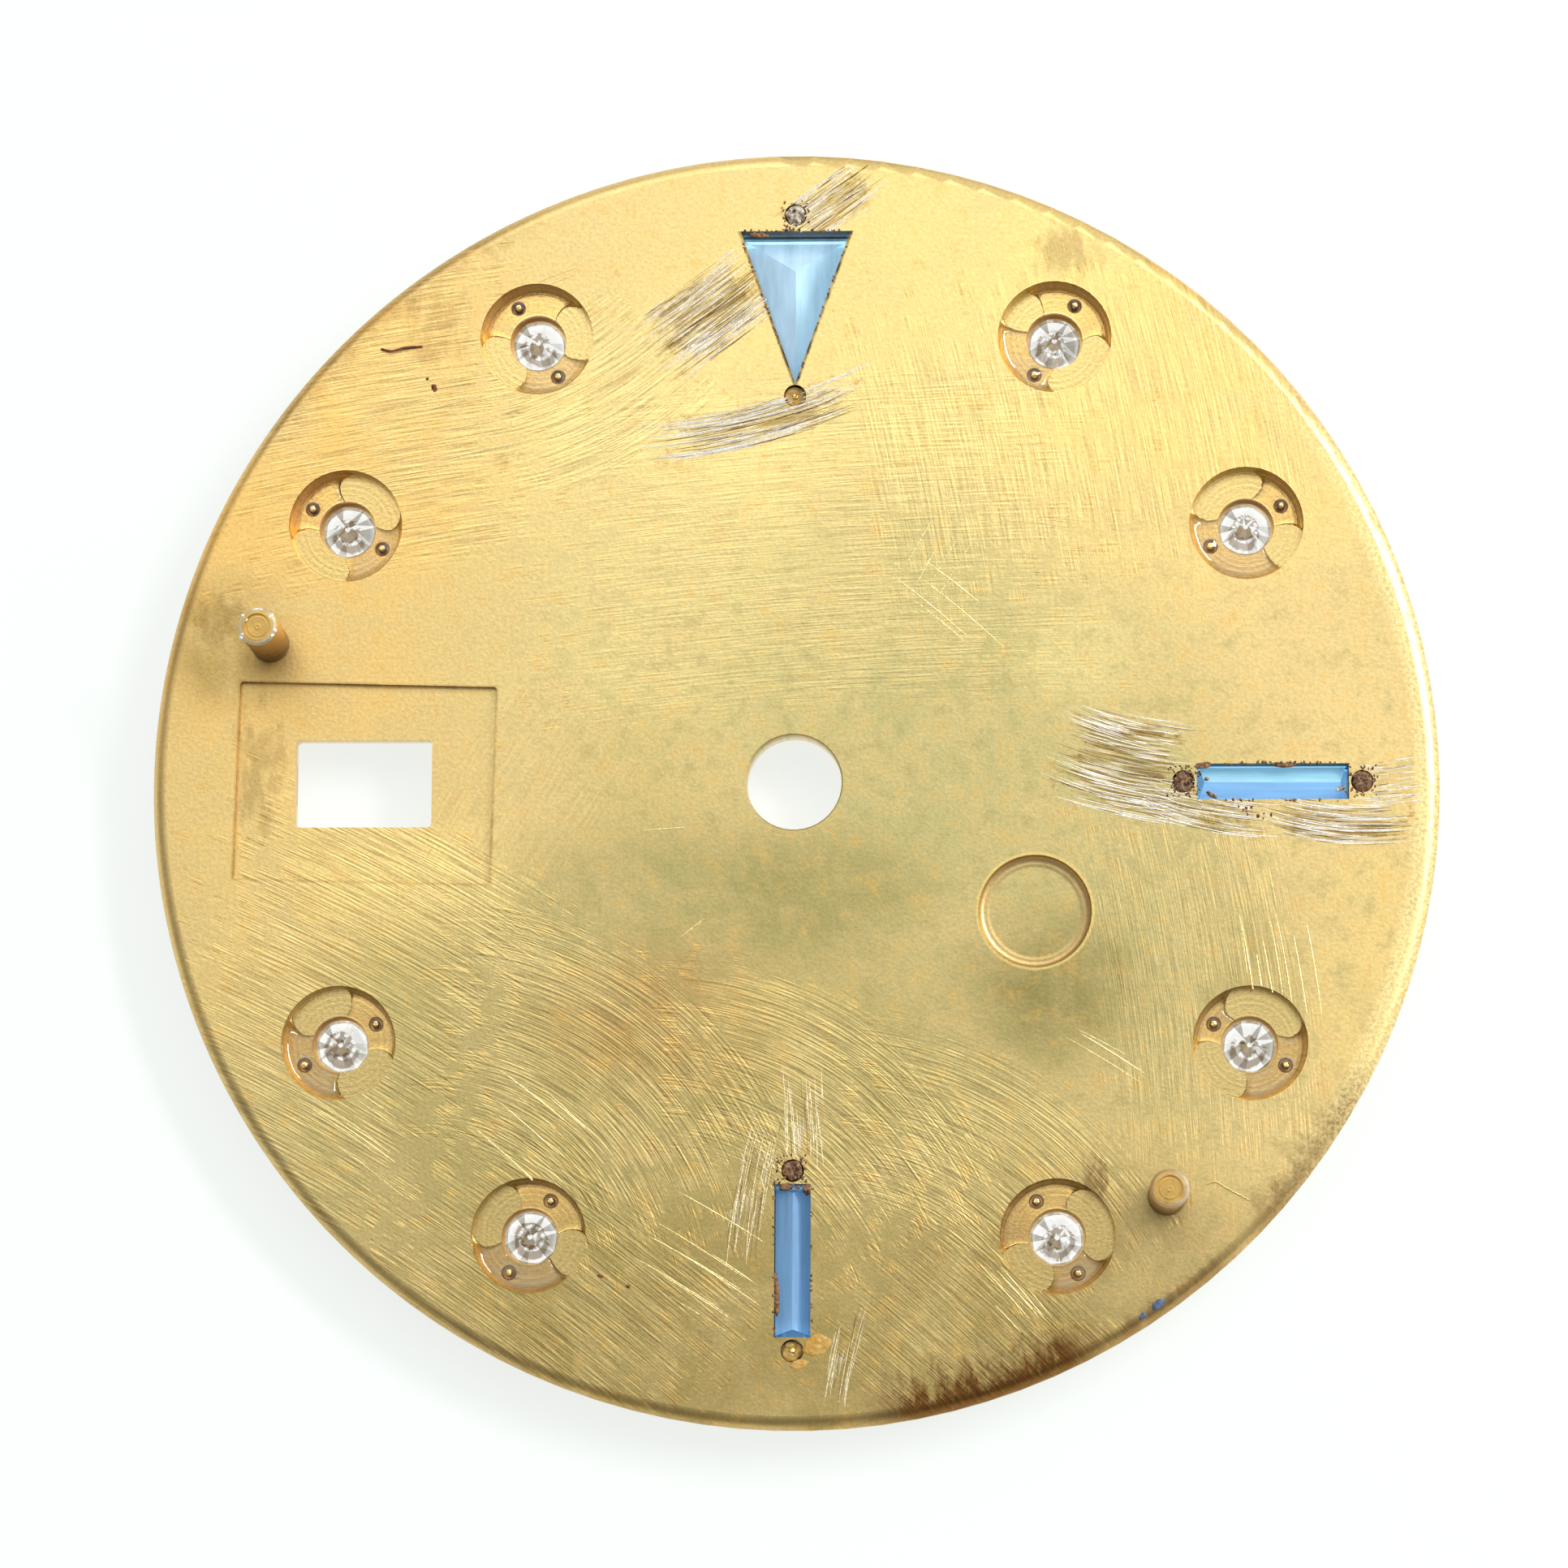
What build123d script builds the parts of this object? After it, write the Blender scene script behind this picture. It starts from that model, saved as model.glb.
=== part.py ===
from build123d import *
import math
import os

# A wristwatch dial with gem-set hour marks, lying face down with its back up. Lengths are in mm.
# The origin is the centre of the hand hole on the back face. +Z points out of the back and +Y
# points to 12 o'clock, so seen from the back 3 o'clock is at -X and 9 o'clock at +X. What lies
# round the dial is placed by its gap from the dial's edge, and by its share of a turn past 12.

# Dial plate
DIAL_D = 26.3
PLATE_T = 0.75
RIM_ROLL_R = 0.28
FRONT_EDGE_CHAMFER = 0.08
HAND_HOLE_D = 1.95
HAND_HOLE_CHAMFER = 0.03
TWELVE_DEG = 90.0
HOUR_SHARE = 1 / 12

# Dial feet, brazed into shallow seats in the back
FOOT_D = 0.78
FOOT_H = 2.2
FOOT_SEAT_DEPTH = 0.12
FOOT_END_CHAMFER = 0.05
FOOT_CUP_D = 0.52
FOOT_CUP_DEPTH = 0.05
FOOT_A_EDGE_GAP = 2.01
FOOT_A_DEG = 165.0
FOOT_B_EDGE_GAP = 1.83
FOOT_B_DEG = -48.2

# Date window at 3 o'clock, and the shallow seat milled round it in the back
DATE_TURN_SHARE = 3 * HOUR_SHARE
DATE_EDGE_GAP = 4.33
DATE_W = 2.80
DATE_H = 1.81
DATE_CORNER_R = 0.1
DATE_BEVEL = 0.16
DATE_SEAT_SHIFT = 0.04
DATE_SEAT_W = 5.28
DATE_SEAT_H = 4.08
DATE_SEAT_DEPTH = 0.13
DATE_SEAT_CORNER_R = 0.07
DATE_SEAT_TURN_DEG = -1.4

# Blind round recess, cut with a round-nosed cutter
SPOT_EDGE_GAP = 7.57
SPOT_DEG = -28.36
SPOT_D = 2.30
SPOT_DEPTH = 0.20
SPOT_FLOOR_R = 0.13

# Round settings: pocket in the back, holes through its floor
ROUND_TURN_SHARES = [hour * HOUR_SHARE for hour in (1, 2, 4, 5, 7, 8, 10, 11)]
ROUND_EDGE_GAP = 2.47
POCKET_D = 2.34
POCKET_DEPTH = 0.42

# Pins of every setting, and the holes that they stand in
PIN_D = 0.15
PIN_CLEARANCE = 0.05
PIN_CIRCLE_R = 0.84
PIN_STAND = 0.14
DOME_MIDDLE_DEG = 45.0

# Round stone, a brilliant with its point towards the back
STONE_D = 1.30
STONE_GIRDLE_T = 0.04
STONE_SINK = 0.20
STONE_MAINS = 8
PAVILION_DEG = 41.0
CROWN_DEG = 34.5
TABLE_SHARE = 0.57
LOWER_HALF_REACH_SHARE = 0.72
UPPER_HALF_REACH_SHARE = 0.22

# Round cup on the front, its seat and rim
CUP_BACK_D = 2.10
CUP_FRONT_D = 1.98
CUP_RIM_W = 0.12
CUP_EDGE_R = 0.04
SEAT_LEDGE = 0.11
SEAT_HOLE_STEP = 0.045
LIP_OVER = 0.05
LIP_T = 0.03
RIM_GUARD = 0.02

# Stone windows at 12 (a wedge whose tip points at the centre) and at 6 and 9 (oblongs)
WEDGE_TURN_SHARE = 12 * HOUR_SHARE
WEDGE_EDGE_GAP = 1.65
WEDGE_L = 3.20
WEDGE_BASE_W = 2.27
OBLONG_TURN_SHARES = (6 * HOUR_SHARE, 9 * HOUR_SHARE)
OBLONG_EDGE_GAP = 1.86
OBLONG_L = 3.09
OBLONG_W = 0.735

# Counterbored wells of the pins at 12, 6 and 9
WELL_D = 0.46
WELL_DEPTH = 0.42
WELL_LAND = 0.04
WEDGE_BASE_LAND = 0.11

# Step-cut stones of 12, 6 and 9
STEP_GIRDLE_GROW = 0.05
STEP_GIRDLE_T = 0.05
STEP_SINK = 0.06
STEP_SKIRT_W = 0.12
STEP_SKIRT_DEG = 48.0
STEP_KEEL_DEG = 32.0
STEP_END_DEG = 58.0
STEP_CROWN_H = 0.17
STEP_CROWN_DEG = 42.0

# Frames of 12, 6 and 9 on the front
FRAME_H = 0.36
FRAME_DRAFT_DEG = 4.0
FRAME_SIDE_WALL = 0.30
FRAME_PIN_WALL = 0.06
FRAME_RIM_W = 0.12
FRAME_CORNER_R = 0.10
FRAME_TIP_R = 0.15

# Cement: a pool in each round pocket with two dry crescents, and a plug in each well
POOL_WALL_DROP = 0.19
POOL_MIDDLE_DROP = 0.31
POOL_HOLE_DROP = 0.37
POOL_HOLE_GAP = 0.03
DRY_OPEN_SHARE = 0.80
DRY_SHUT_SHARE = 1.12
DRY_OPEN_R_SHARES = (0.56, 0.62, 0.50, 0.66, 0.58, 0.52, 0.60, 0.54)
DRY_SHUT_R_SHARES = (0.46, 0.42, 0.52, 0.38, 0.48, 0.50, 0.40, 0.44)
DRY_WAY_SHARES = (1, 1, -1, 1, -1, 1, -1, 1)
PLUG_EDGE_DROP = 0.02
PLUG_MIDDLE_DROP = 0.08
PLUG_FLAT_SHARE = 0.3

# Overrun of cutters past the faces that they cut
OVERRUN = 0.2

# Levels and sizes that follow from those above
FRONT_Z = -PLATE_T
DIAL_R = DIAL_D / 2
FOOT_A_CIRCLE_R = DIAL_R - FOOT_A_EDGE_GAP
FOOT_B_CIRCLE_R = DIAL_R - FOOT_B_EDGE_GAP
DATE_CIRCLE_R = DIAL_R - DATE_EDGE_GAP
SPOT_CIRCLE_R = DIAL_R - SPOT_EDGE_GAP
ROUND_CIRCLE_R = DIAL_R - ROUND_EDGE_GAP
WEDGE_BASE_R = DIAL_R - WEDGE_EDGE_GAP
WEDGE_TIP_R = WEDGE_BASE_R - WEDGE_L
OBLONG_OUT_R = DIAL_R - OBLONG_EDGE_GAP
OBLONG_IN_R = OBLONG_OUT_R - OBLONG_L
POCKET_FLOOR_Z = -POCKET_DEPTH
PIN_HOLE_D = PIN_D + 2 * PIN_CLEARANCE
STONE_R = STONE_D / 2
CUP_BORE_D = STONE_D - 2 * SEAT_LEDGE
STONE_HOLE_D = CUP_BORE_D + 2 * SEAT_HOLE_STEP
GIRDLE_BACK_Z = FRONT_Z - STONE_SINK
GIRDLE_FRONT_Z = GIRDLE_BACK_Z - STONE_GIRDLE_T
CULET_Z = GIRDLE_BACK_Z + STONE_R * math.tan(math.radians(PAVILION_DEG))
TABLE_Z = GIRDLE_FRONT_Z - STONE_R * (1 - TABLE_SHARE) * math.tan(math.radians(CROWN_DEG))
STEP_BACK_Z = FRONT_Z - STEP_SINK
STEP_FRONT_Z = STEP_BACK_Z - STEP_GIRDLE_T
STEP_TABLE_Z = STEP_FRONT_Z - STEP_CROWN_H

# Half facets meet the girdle on chords between the mains: the chord's distance as a ratio
HALF_CHORD = math.cos(math.pi / STONE_MAINS / 2)


def hour_turn(turn_share):
    """Turn that takes the local +X, which points away from the centre, to an hour."""
    return Rot(0, 0, TWELVE_DEG + turn_share * 360)


def hour_name(turn_share):
    """Hour with two digits, as the names of the pieces have it."""
    return f"{round(turn_share / HOUR_SHARE):02d}"


def polar_place(circle_r, degrees):
    return Rot(0, 0, degrees) * Pos(circle_r, 0, 0)


def round_place(turn_share):
    """Place of a round setting, modelled about its own axis with +X away from the centre."""
    return hour_turn(turn_share) * Pos(ROUND_CIRCLE_R, 0, 0)


def lathe(points):
    """Solid turned about Z from an outline of (radius, height) points."""
    return revolve(Plane.XZ * Polygon(*points, align=None), axis=Axis.Z)


def drill(diameter, bottom_z, top_z):
    """Upright cylinder between two heights."""
    return Pos(0, 0, bottom_z) * Cylinder(
        diameter / 2, top_z - bottom_z, align=(Align.CENTER, Align.CENTER, Align.MIN)
    )


def prism(sketch, bottom_z, top_z):
    """Upright solid over a sketch between two heights."""
    return extrude(Pos(0, 0, bottom_z) * sketch, top_z - bottom_z)


def wedge_corners(side_grow, base_grow):
    """Corners of the wedge window, grown past its sides and its base."""
    half_angle = math.atan(WEDGE_BASE_W / 2 / WEDGE_L)
    tip = WEDGE_TIP_R - side_grow / math.sin(half_angle)
    base = WEDGE_BASE_R + base_grow
    half_w = (base - tip) * math.tan(half_angle)
    return [(base, -half_w), (base, half_w), (tip, 0)]


def oblong_corners(side_grow, end_grow):
    """Corners of the oblong window, grown past its sides and its ends."""
    half_w = OBLONG_W / 2 + side_grow
    low, high = OBLONG_IN_R - end_grow, OBLONG_OUT_R + end_grow
    return [(high, -half_w), (high, half_w), (low, half_w), (low, -half_w)]


def outline(corners):
    return Polygon(*corners, align=None)


def well_offset(land):
    """Distance from a window's end to the axis of the well beyond it."""
    return land + WELL_D / 2


WEDGE_WELLS = (WEDGE_TIP_R - well_offset(WELL_LAND), WEDGE_BASE_R + well_offset(WEDGE_BASE_LAND))
OBLONG_WELLS = (OBLONG_IN_R - well_offset(WELL_LAND), OBLONG_OUT_R + well_offset(WELL_LAND))


# Dial plate


def pocket_cut():
    """Pocket of a round setting with the stone hole and two pin holes through its floor."""
    pocket = drill(POCKET_D, POCKET_FLOOR_Z, OVERRUN)
    stone_hole = drill(STONE_HOLE_D, FRONT_Z - OVERRUN, POCKET_FLOOR_Z + OVERRUN)
    pin_hole = drill(PIN_HOLE_D, FRONT_Z - OVERRUN, POCKET_FLOOR_Z + OVERRUN)
    return pocket + stone_hole + [Pos(side * PIN_CIRCLE_R, 0, 0) * pin_hole for side in (-1, 1)]


def window_cut(corners, wells):
    """Stone window through the plate and the two counterbored pin wells at its ends."""
    window = prism(outline(corners(0, 0)), FRONT_Z - OVERRUN, OVERRUN)
    well = drill(WELL_D, -WELL_DEPTH, OVERRUN) + drill(PIN_HOLE_D, FRONT_Z - OVERRUN, 0)
    return [window] + [Pos(radius, 0, 0) * well for radius in wells]


def date_cut():
    """Date window with a bevelled front edge, and the seat round it, at local +X."""
    window = RectangleRounded(DATE_W, DATE_H, DATE_CORNER_R)
    hole = Pos(DATE_CIRCLE_R, 0, 0) * prism(window, FRONT_Z - OVERRUN, OVERRUN)
    reach = DATE_BEVEL + OVERRUN
    mouth = RectangleRounded(DATE_W + 2 * reach, DATE_H + 2 * reach, DATE_CORNER_R + reach)
    top, bottom = FRONT_Z + DATE_BEVEL, FRONT_Z - OVERRUN
    bevel = Pos(DATE_CIRCLE_R, 0, 0) * loft([Pos(0, 0, bottom) * mouth, Pos(0, 0, top) * window])
    seat_outline = RectangleRounded(DATE_SEAT_W, DATE_SEAT_H, DATE_SEAT_CORNER_R)
    seat = prism(seat_outline, -DATE_SEAT_DEPTH, OVERRUN)
    seat_place = Pos(DATE_CIRCLE_R - DATE_SEAT_SHIFT, 0, 0) * Rot(0, 0, DATE_SEAT_TURN_DEG)
    return [hole, bevel, seat_place * seat]


def spot_cut():
    """Blind round recess with a coved floor edge."""
    cutter = drill(SPOT_D, -SPOT_DEPTH, OVERRUN)
    floor_edge = cutter.edges().group_by(Axis.Z)[0]
    return polar_place(SPOT_CIRCLE_R, SPOT_DEG) * fillet(floor_edge, SPOT_FLOOR_R)


def foot_places():
    """Places of the two dial feet by name."""
    return {
        "dial_foot_a": polar_place(FOOT_A_CIRCLE_R, FOOT_A_DEG),
        "dial_foot_b": polar_place(FOOT_B_CIRCLE_R, FOOT_B_DEG),
    }


def dial_plate():
    """Round plate with a rolled back edge and every hole, pocket and seat in it."""
    blank = drill(DIAL_D, FRONT_Z, 0)
    blank = fillet(blank.edges().group_by(Axis.Z)[-1], RIM_ROLL_R)
    blank = chamfer(blank.edges().group_by(Axis.Z)[0], FRONT_EDGE_CHAMFER)
    hand_hole = drill(HAND_HOLE_D, FRONT_Z - OVERRUN, OVERRUN)
    hole_r = HAND_HOLE_D / 2
    countersink = lathe([
        (0, -HAND_HOLE_CHAMFER),
        (hole_r, -HAND_HOLE_CHAMFER),
        (hole_r + HAND_HOLE_CHAMFER + OVERRUN, OVERRUN),
        (0, OVERRUN),
    ])
    cuts = [hand_hole, countersink, spot_cut()]
    cuts += [hour_turn(DATE_TURN_SHARE) * cut for cut in date_cut()]
    cuts += [round_place(share) * pocket_cut() for share in ROUND_TURN_SHARES]
    wedge_cuts = window_cut(wedge_corners, WEDGE_WELLS)
    cuts += [hour_turn(WEDGE_TURN_SHARE) * cut for cut in wedge_cuts]
    for share in OBLONG_TURN_SHARES:
        cuts += [hour_turn(share) * cut for cut in window_cut(oblong_corners, OBLONG_WELLS)]
    foot_seat = drill(FOOT_D, -FOOT_SEAT_DEPTH, OVERRUN)
    cuts += [place * foot_seat for place in foot_places().values()]
    return blank - cuts


def dial_foot():
    """Turned foot: its root fills the seat, and its end is dished inside a raised ring."""
    radius, cup_r = FOOT_D / 2, FOOT_CUP_D / 2
    return lathe([
        (0, -FOOT_SEAT_DEPTH),
        (radius, -FOOT_SEAT_DEPTH),
        (radius, FOOT_H - FOOT_END_CHAMFER),
        (radius - FOOT_END_CHAMFER, FOOT_H),
        (cup_r, FOOT_H),
        (cup_r, FOOT_H - FOOT_CUP_DEPTH),
        (0, FOOT_H - FOOT_CUP_DEPTH),
    ])


# Stones


def facet(stone, at, outward, slope_deg, side):
    """Grind one flat facet: through the point at, facing outward, on the back (1) or front (-1)."""
    slope = math.radians(slope_deg)
    normal = (
        math.sin(slope) * outward[0],
        math.sin(slope) * outward[1],
        side * math.cos(slope),
    )
    return split(stone, bisect_by=Plane(origin=at, z_dir=normal), keep=Keep.BOTTOM)


def facet_ring(stone, count, first_deg, slope_deg, radius, height, side):
    """Grind a ring of equal facets whose planes pass at a radius and a height."""
    for index in range(count):
        angle = math.radians(first_deg + index * 360 / count)
        outward = (math.cos(angle), math.sin(angle))
        at = (radius * outward[0], radius * outward[1], height)
        stone = facet(stone, at, outward, slope_deg, side)
    return stone


def half_facet_deg(main_deg, reach_share):
    """Slope of the half facets that run from the girdle over a share of the radius."""
    rest = 1 - reach_share
    to_main = math.cos(math.pi / STONE_MAINS)
    rise = math.tan(math.radians(main_deg)) * (1 - rest * to_main) / HALF_CHORD / reach_share
    return math.degrees(math.atan(rise))


def star_facet_deg():
    """Slope of the star facets, whose outer tips meet the tips of the upper half facets."""
    rest, to_main = 1 - UPPER_HALF_REACH_SHARE, math.cos(math.pi / STONE_MAINS)
    fall = math.tan(math.radians(CROWN_DEG)) * (rest * to_main - TABLE_SHARE)
    return math.degrees(math.atan(fall / (rest - TABLE_SHARE * to_main)))


def brilliant():
    """Round brilliant: mains and half facets on both sides, star facets round the table."""
    stone = drill(STONE_D, TABLE_Z, CULET_Z + OVERRUN)
    main_step = 360 / STONE_MAINS
    lower_deg = half_facet_deg(PAVILION_DEG, LOWER_HALF_REACH_SHARE)
    upper_deg = half_facet_deg(CROWN_DEG, UPPER_HALF_REACH_SHARE)
    halves, half_r = 2 * STONE_MAINS, STONE_R * HALF_CHORD
    stone = facet_ring(stone, STONE_MAINS, 0, PAVILION_DEG, STONE_R, GIRDLE_BACK_Z, 1)
    stone = facet_ring(stone, halves, main_step / 4, lower_deg, half_r, GIRDLE_BACK_Z, 1)
    stone = facet_ring(stone, STONE_MAINS, 0, CROWN_DEG, STONE_R, GIRDLE_FRONT_Z, -1)
    stone = facet_ring(stone, halves, main_step / 4, upper_deg, half_r, GIRDLE_FRONT_Z, -1)
    star_r = TABLE_SHARE * STONE_R * math.cos(math.pi / STONE_MAINS)
    star_deg = star_facet_deg()
    return facet_ring(stone, STONE_MAINS, main_step / 2, star_deg, star_r, TABLE_Z, -1)


def edge_facets(stone, corners, slopes, inset, height, side):
    """Grind one facet along each edge of an outline, inset from it, at a height."""
    for index, start in enumerate(corners):
        end = corners[(index + 1) % len(corners)]
        run = (end[0] - start[0], end[1] - start[1])
        length = math.hypot(*run)
        outward = (run[1] / length, -run[0] / length)
        at = (start[0] - inset * outward[0], start[1] - inset * outward[1], height)
        stone = facet(stone, at, outward, slopes[index], side)
    return stone


def step_stone(corners, keel_slopes):
    """Step-cut stone: a steep skirt, then flatter facets to the keel, and a bevelled table."""
    girdle = corners(STEP_GIRDLE_GROW, STEP_GIRDLE_GROW)
    xs, ys = [x for x, _ in girdle], [y for _, y in girdle]
    tall = max(xs) - min(xs) + max(ys) - min(ys)
    stone = prism(outline(girdle), STEP_TABLE_Z, STEP_BACK_Z + tall)
    skirt_rise = STEP_SKIRT_W * math.tan(math.radians(STEP_SKIRT_DEG))
    skirt = [max(STEP_SKIRT_DEG, slope) for slope in keel_slopes]
    stone = edge_facets(stone, girdle, skirt, 0, STEP_BACK_Z, 1)
    keel_z = STEP_BACK_Z + skirt_rise
    stone = edge_facets(stone, girdle, keel_slopes, STEP_SKIRT_W, keel_z, 1)
    crown = [STEP_CROWN_DEG] * len(girdle)
    return edge_facets(stone, girdle, crown, 0, STEP_FRONT_Z, -1)


def wedge_stone():
    return step_stone(wedge_corners, [STEP_KEEL_DEG] * 3)


def oblong_stone():
    return step_stone(oblong_corners, [STEP_END_DEG, STEP_KEEL_DEG] * 2)


# Settings


def pin_dome_z(floor_z):
    """Height where a pin's domed end starts, over a floor."""
    return floor_z + PIN_STAND - PIN_D / 2


def pin(floor_z):
    """Pin from the back of a setting through the plate, with a domed end above a floor."""
    dome_z = pin_dome_z(floor_z)
    return drill(PIN_D, FRONT_Z, dome_z) + Pos(0, 0, dome_z) * Sphere(PIN_D / 2)


def round_setting(stone):
    """Cup of a round stone: bored seat, thin lip over the girdle, bevelled rim, two pins."""
    lip_r = STONE_R - LIP_OVER
    lip_z = GIRDLE_FRONT_Z - LIP_OVER * math.tan(math.radians(CROWN_DEG)) - LIP_T
    rim_z = TABLE_Z - RIM_GUARD
    cup = lathe([
        (CUP_BORE_D / 2, FRONT_Z),
        (CUP_BACK_D / 2, FRONT_Z),
        (CUP_FRONT_D / 2, rim_z + CUP_EDGE_R),
        (CUP_FRONT_D / 2 - CUP_EDGE_R, rim_z),
        (CUP_FRONT_D / 2 - CUP_RIM_W, rim_z),
        (lip_r, lip_z),
        (CUP_BORE_D / 2, GIRDLE_BACK_Z),
    ])
    pins = [Pos(side * PIN_CIRCLE_R, 0, 0) * pin(POCKET_FLOOR_Z) for side in (-1, 1)]
    return cup - stone + pins


def wedge_sheet():
    """Outside of the wedge's frame, with rounded corners."""
    base_wall = well_offset(WEDGE_BASE_LAND) + PIN_D / 2 + FRAME_PIN_WALL
    sheet = outline(wedge_corners(FRAME_SIDE_WALL, base_wall))
    sheet = fillet(sheet.vertices().sort_by(Axis.X)[1:], FRAME_CORNER_R)
    return fillet(sheet.vertices().sort_by(Axis.X)[0], FRAME_TIP_R)


def oblong_sheet():
    """Outside of an oblong's frame, with rounded corners."""
    end_wall = well_offset(WELL_LAND) + PIN_D / 2 + FRAME_PIN_WALL
    sheet = outline(oblong_corners(FRAME_SIDE_WALL, end_wall))
    return fillet(sheet.vertices(), FRAME_CORNER_R)


def frame_setting(sheet, corners, wells, stone):
    """Frame of a step-cut stone: drafted outside, bored seat, bevelled opening, two pins."""
    rim_z = FRONT_Z - FRAME_H
    girdle_grow = STEP_GIRDLE_GROW - LIP_OVER
    lip_z = STEP_FRONT_Z - LIP_OVER * math.tan(math.radians(STEP_CROWN_DEG)) - LIP_T
    body = extrude(Pos(0, 0, FRONT_Z) * sheet, -FRAME_H, taper=FRAME_DRAFT_DEG)
    bore = prism(outline(corners(0, 0)), STEP_BACK_Z, FRONT_Z + OVERRUN)
    flare = FRAME_SIDE_WALL - FRAME_RIM_W
    mouth = loft([
        Pos(0, 0, rim_z) * outline(corners(flare, flare)),
        Pos(0, 0, lip_z) * outline(corners(girdle_grow, girdle_grow)),
    ])
    pins = [Pos(radius, 0, 0) * pin(-WELL_DEPTH) for radius in wells]
    return body - [bore, mouth] - stone + pins


# Cement


def sleeve():
    """Cement between a pin and its hole, from the front face up to the floor."""
    return drill(PIN_HOLE_D, FRONT_Z, POCKET_FLOOR_Z)


def pool(open_r_share, shut_r_share, way):
    """Pool in a round pocket: dished surface, two dry crescents, sleeves round the pins."""
    inner, outer = STONE_HOLE_D / 2 + POOL_HOLE_GAP, POCKET_D / 2
    middle = (inner + outer) / 2
    section = Polyline(
        (inner, -POOL_HOLE_DROP),
        (inner, POCKET_FLOOR_Z),
        (outer, POCKET_FLOOR_Z),
        (outer, -POOL_WALL_DROP),
    )
    surface = ThreePointArc(
        (outer, -POOL_WALL_DROP), (middle, -POOL_MIDDLE_DROP), (inner, -POOL_HOLE_DROP)
    )
    ring = revolve(Plane.XZ * make_face(section + surface), axis=Axis.Z)
    for centre, radius in (
        (way * DRY_OPEN_SHARE, open_r_share),
        (-way * DRY_SHUT_SHARE, shut_r_share),
    ):
        dry = drill(2 * radius * outer, POCKET_FLOOR_Z - OVERRUN, OVERRUN)
        ring -= Pos(0, centre * outer, 0) * dry
    places = [Pos(end * PIN_CIRCLE_R, 0, 0) for end in (-1, 1)]
    pins = [place * drill(PIN_D, FRONT_Z - OVERRUN, OVERRUN) for place in places]
    return ring + [place * sleeve() for place in places] - pins


def plug():
    """Plug in a pin well, turned round the pin: dished top, and a sleeve in the pin's hole."""
    radius, pin_r, hole_r = WELL_D / 2, PIN_D / 2, PIN_HOLE_D / 2
    dome_z = pin_dome_z(-WELL_DEPTH)
    dome_turn = math.radians(DOME_MIDDLE_DEG)
    outside = Polyline(
        (pin_r, dome_z),
        (pin_r, FRONT_Z),
        (hole_r, FRONT_Z),
        (hole_r, -WELL_DEPTH),
        (radius, -WELL_DEPTH),
        (radius, -PLUG_EDGE_DROP),
    )
    flat_r = radius * PLUG_FLAT_SHARE
    dish_middle = ((radius + flat_r) / 2, -(PLUG_EDGE_DROP + 3 * PLUG_MIDDLE_DROP) / 4)
    dish = ThreePointArc((radius, -PLUG_EDGE_DROP), dish_middle, (flat_r, -PLUG_MIDDLE_DROP))
    middle = Polyline(
        (flat_r, -PLUG_MIDDLE_DROP), (0, -PLUG_MIDDLE_DROP), (0, dome_z + pin_r)
    )
    dome_middle = (pin_r * math.sin(dome_turn), dome_z + pin_r * math.cos(dome_turn))
    dome = ThreePointArc((0, dome_z + pin_r), dome_middle, (pin_r, dome_z))
    return revolve(Plane.XZ * make_face(outside + dish + middle + dome), axis=Axis.Z)


def round_marks(pieces):
    """Setting, stone and cement of each round hour mark."""
    stone = brilliant()
    setting = round_setting(stone)
    pools = zip(ROUND_TURN_SHARES, DRY_OPEN_R_SHARES, DRY_SHUT_R_SHARES, DRY_WAY_SHARES)
    for share, open_r_share, shut_r_share, way in pools:
        hour, place = hour_name(share), round_place(share)
        pieces[f"setting_{hour}"] = place * setting
        pieces[f"stone_{hour}"] = place * stone
        pieces[f"cement_{hour}"] = place * pool(open_r_share, shut_r_share, way)


def long_mark(pieces, turn_share, setting, stone, wells):
    """Setting, stone and two cement plugs of the wedge or an oblong hour mark."""
    hour, turn = hour_name(turn_share), hour_turn(turn_share)
    pieces[f"setting_{hour}"] = turn * setting
    pieces[f"stone_{hour}"] = turn * stone
    for end, radius in zip(("inner", "outer"), wells):
        pieces[f"cement_{hour}_{end}"] = turn * Pos(radius, 0, 0) * plug()


def build_pieces():
    """Every piece of the dial by name."""
    pieces = {"dial_plate": dial_plate()}
    for name, place in foot_places().items():
        pieces[name] = place * dial_foot()
    round_marks(pieces)
    stone = wedge_stone()
    setting = frame_setting(wedge_sheet(), wedge_corners, WEDGE_WELLS, stone)
    long_mark(pieces, WEDGE_TURN_SHARE, setting, stone, WEDGE_WELLS)
    stone = oblong_stone()
    setting = frame_setting(oblong_sheet(), oblong_corners, OBLONG_WELLS, stone)
    for share in OBLONG_TURN_SHARES:
        long_mark(pieces, share, setting, stone, OBLONG_WELLS)
    return pieces


os.makedirs("parts", exist_ok=True)
for name, piece in build_pieces().items():
    export_step(piece, f"parts/{name}.step")
    print(f"{name}: {len(piece.solids())} solid(s), {piece.volume:.4f} mm3")
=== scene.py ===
# %% [markdown]
# # A gem-set watch dial, seen from its back
# The dial lies face down on a pale sheet, and the camera looks at its back, the side that faces
# the movement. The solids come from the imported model: one plate, two feet, eleven settings with
# their stones, and the cement that holds the pins of the settings. This script leaves every solid
# where it is and gives it a finish. It adds what is too fine for a solid: scraped strokes,
# fibres and specks of dirt, cement that spilled, and the printed track on the face.

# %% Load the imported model
import math

import bmesh
import bpy
from mathutils import Matrix, Vector, noise


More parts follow.
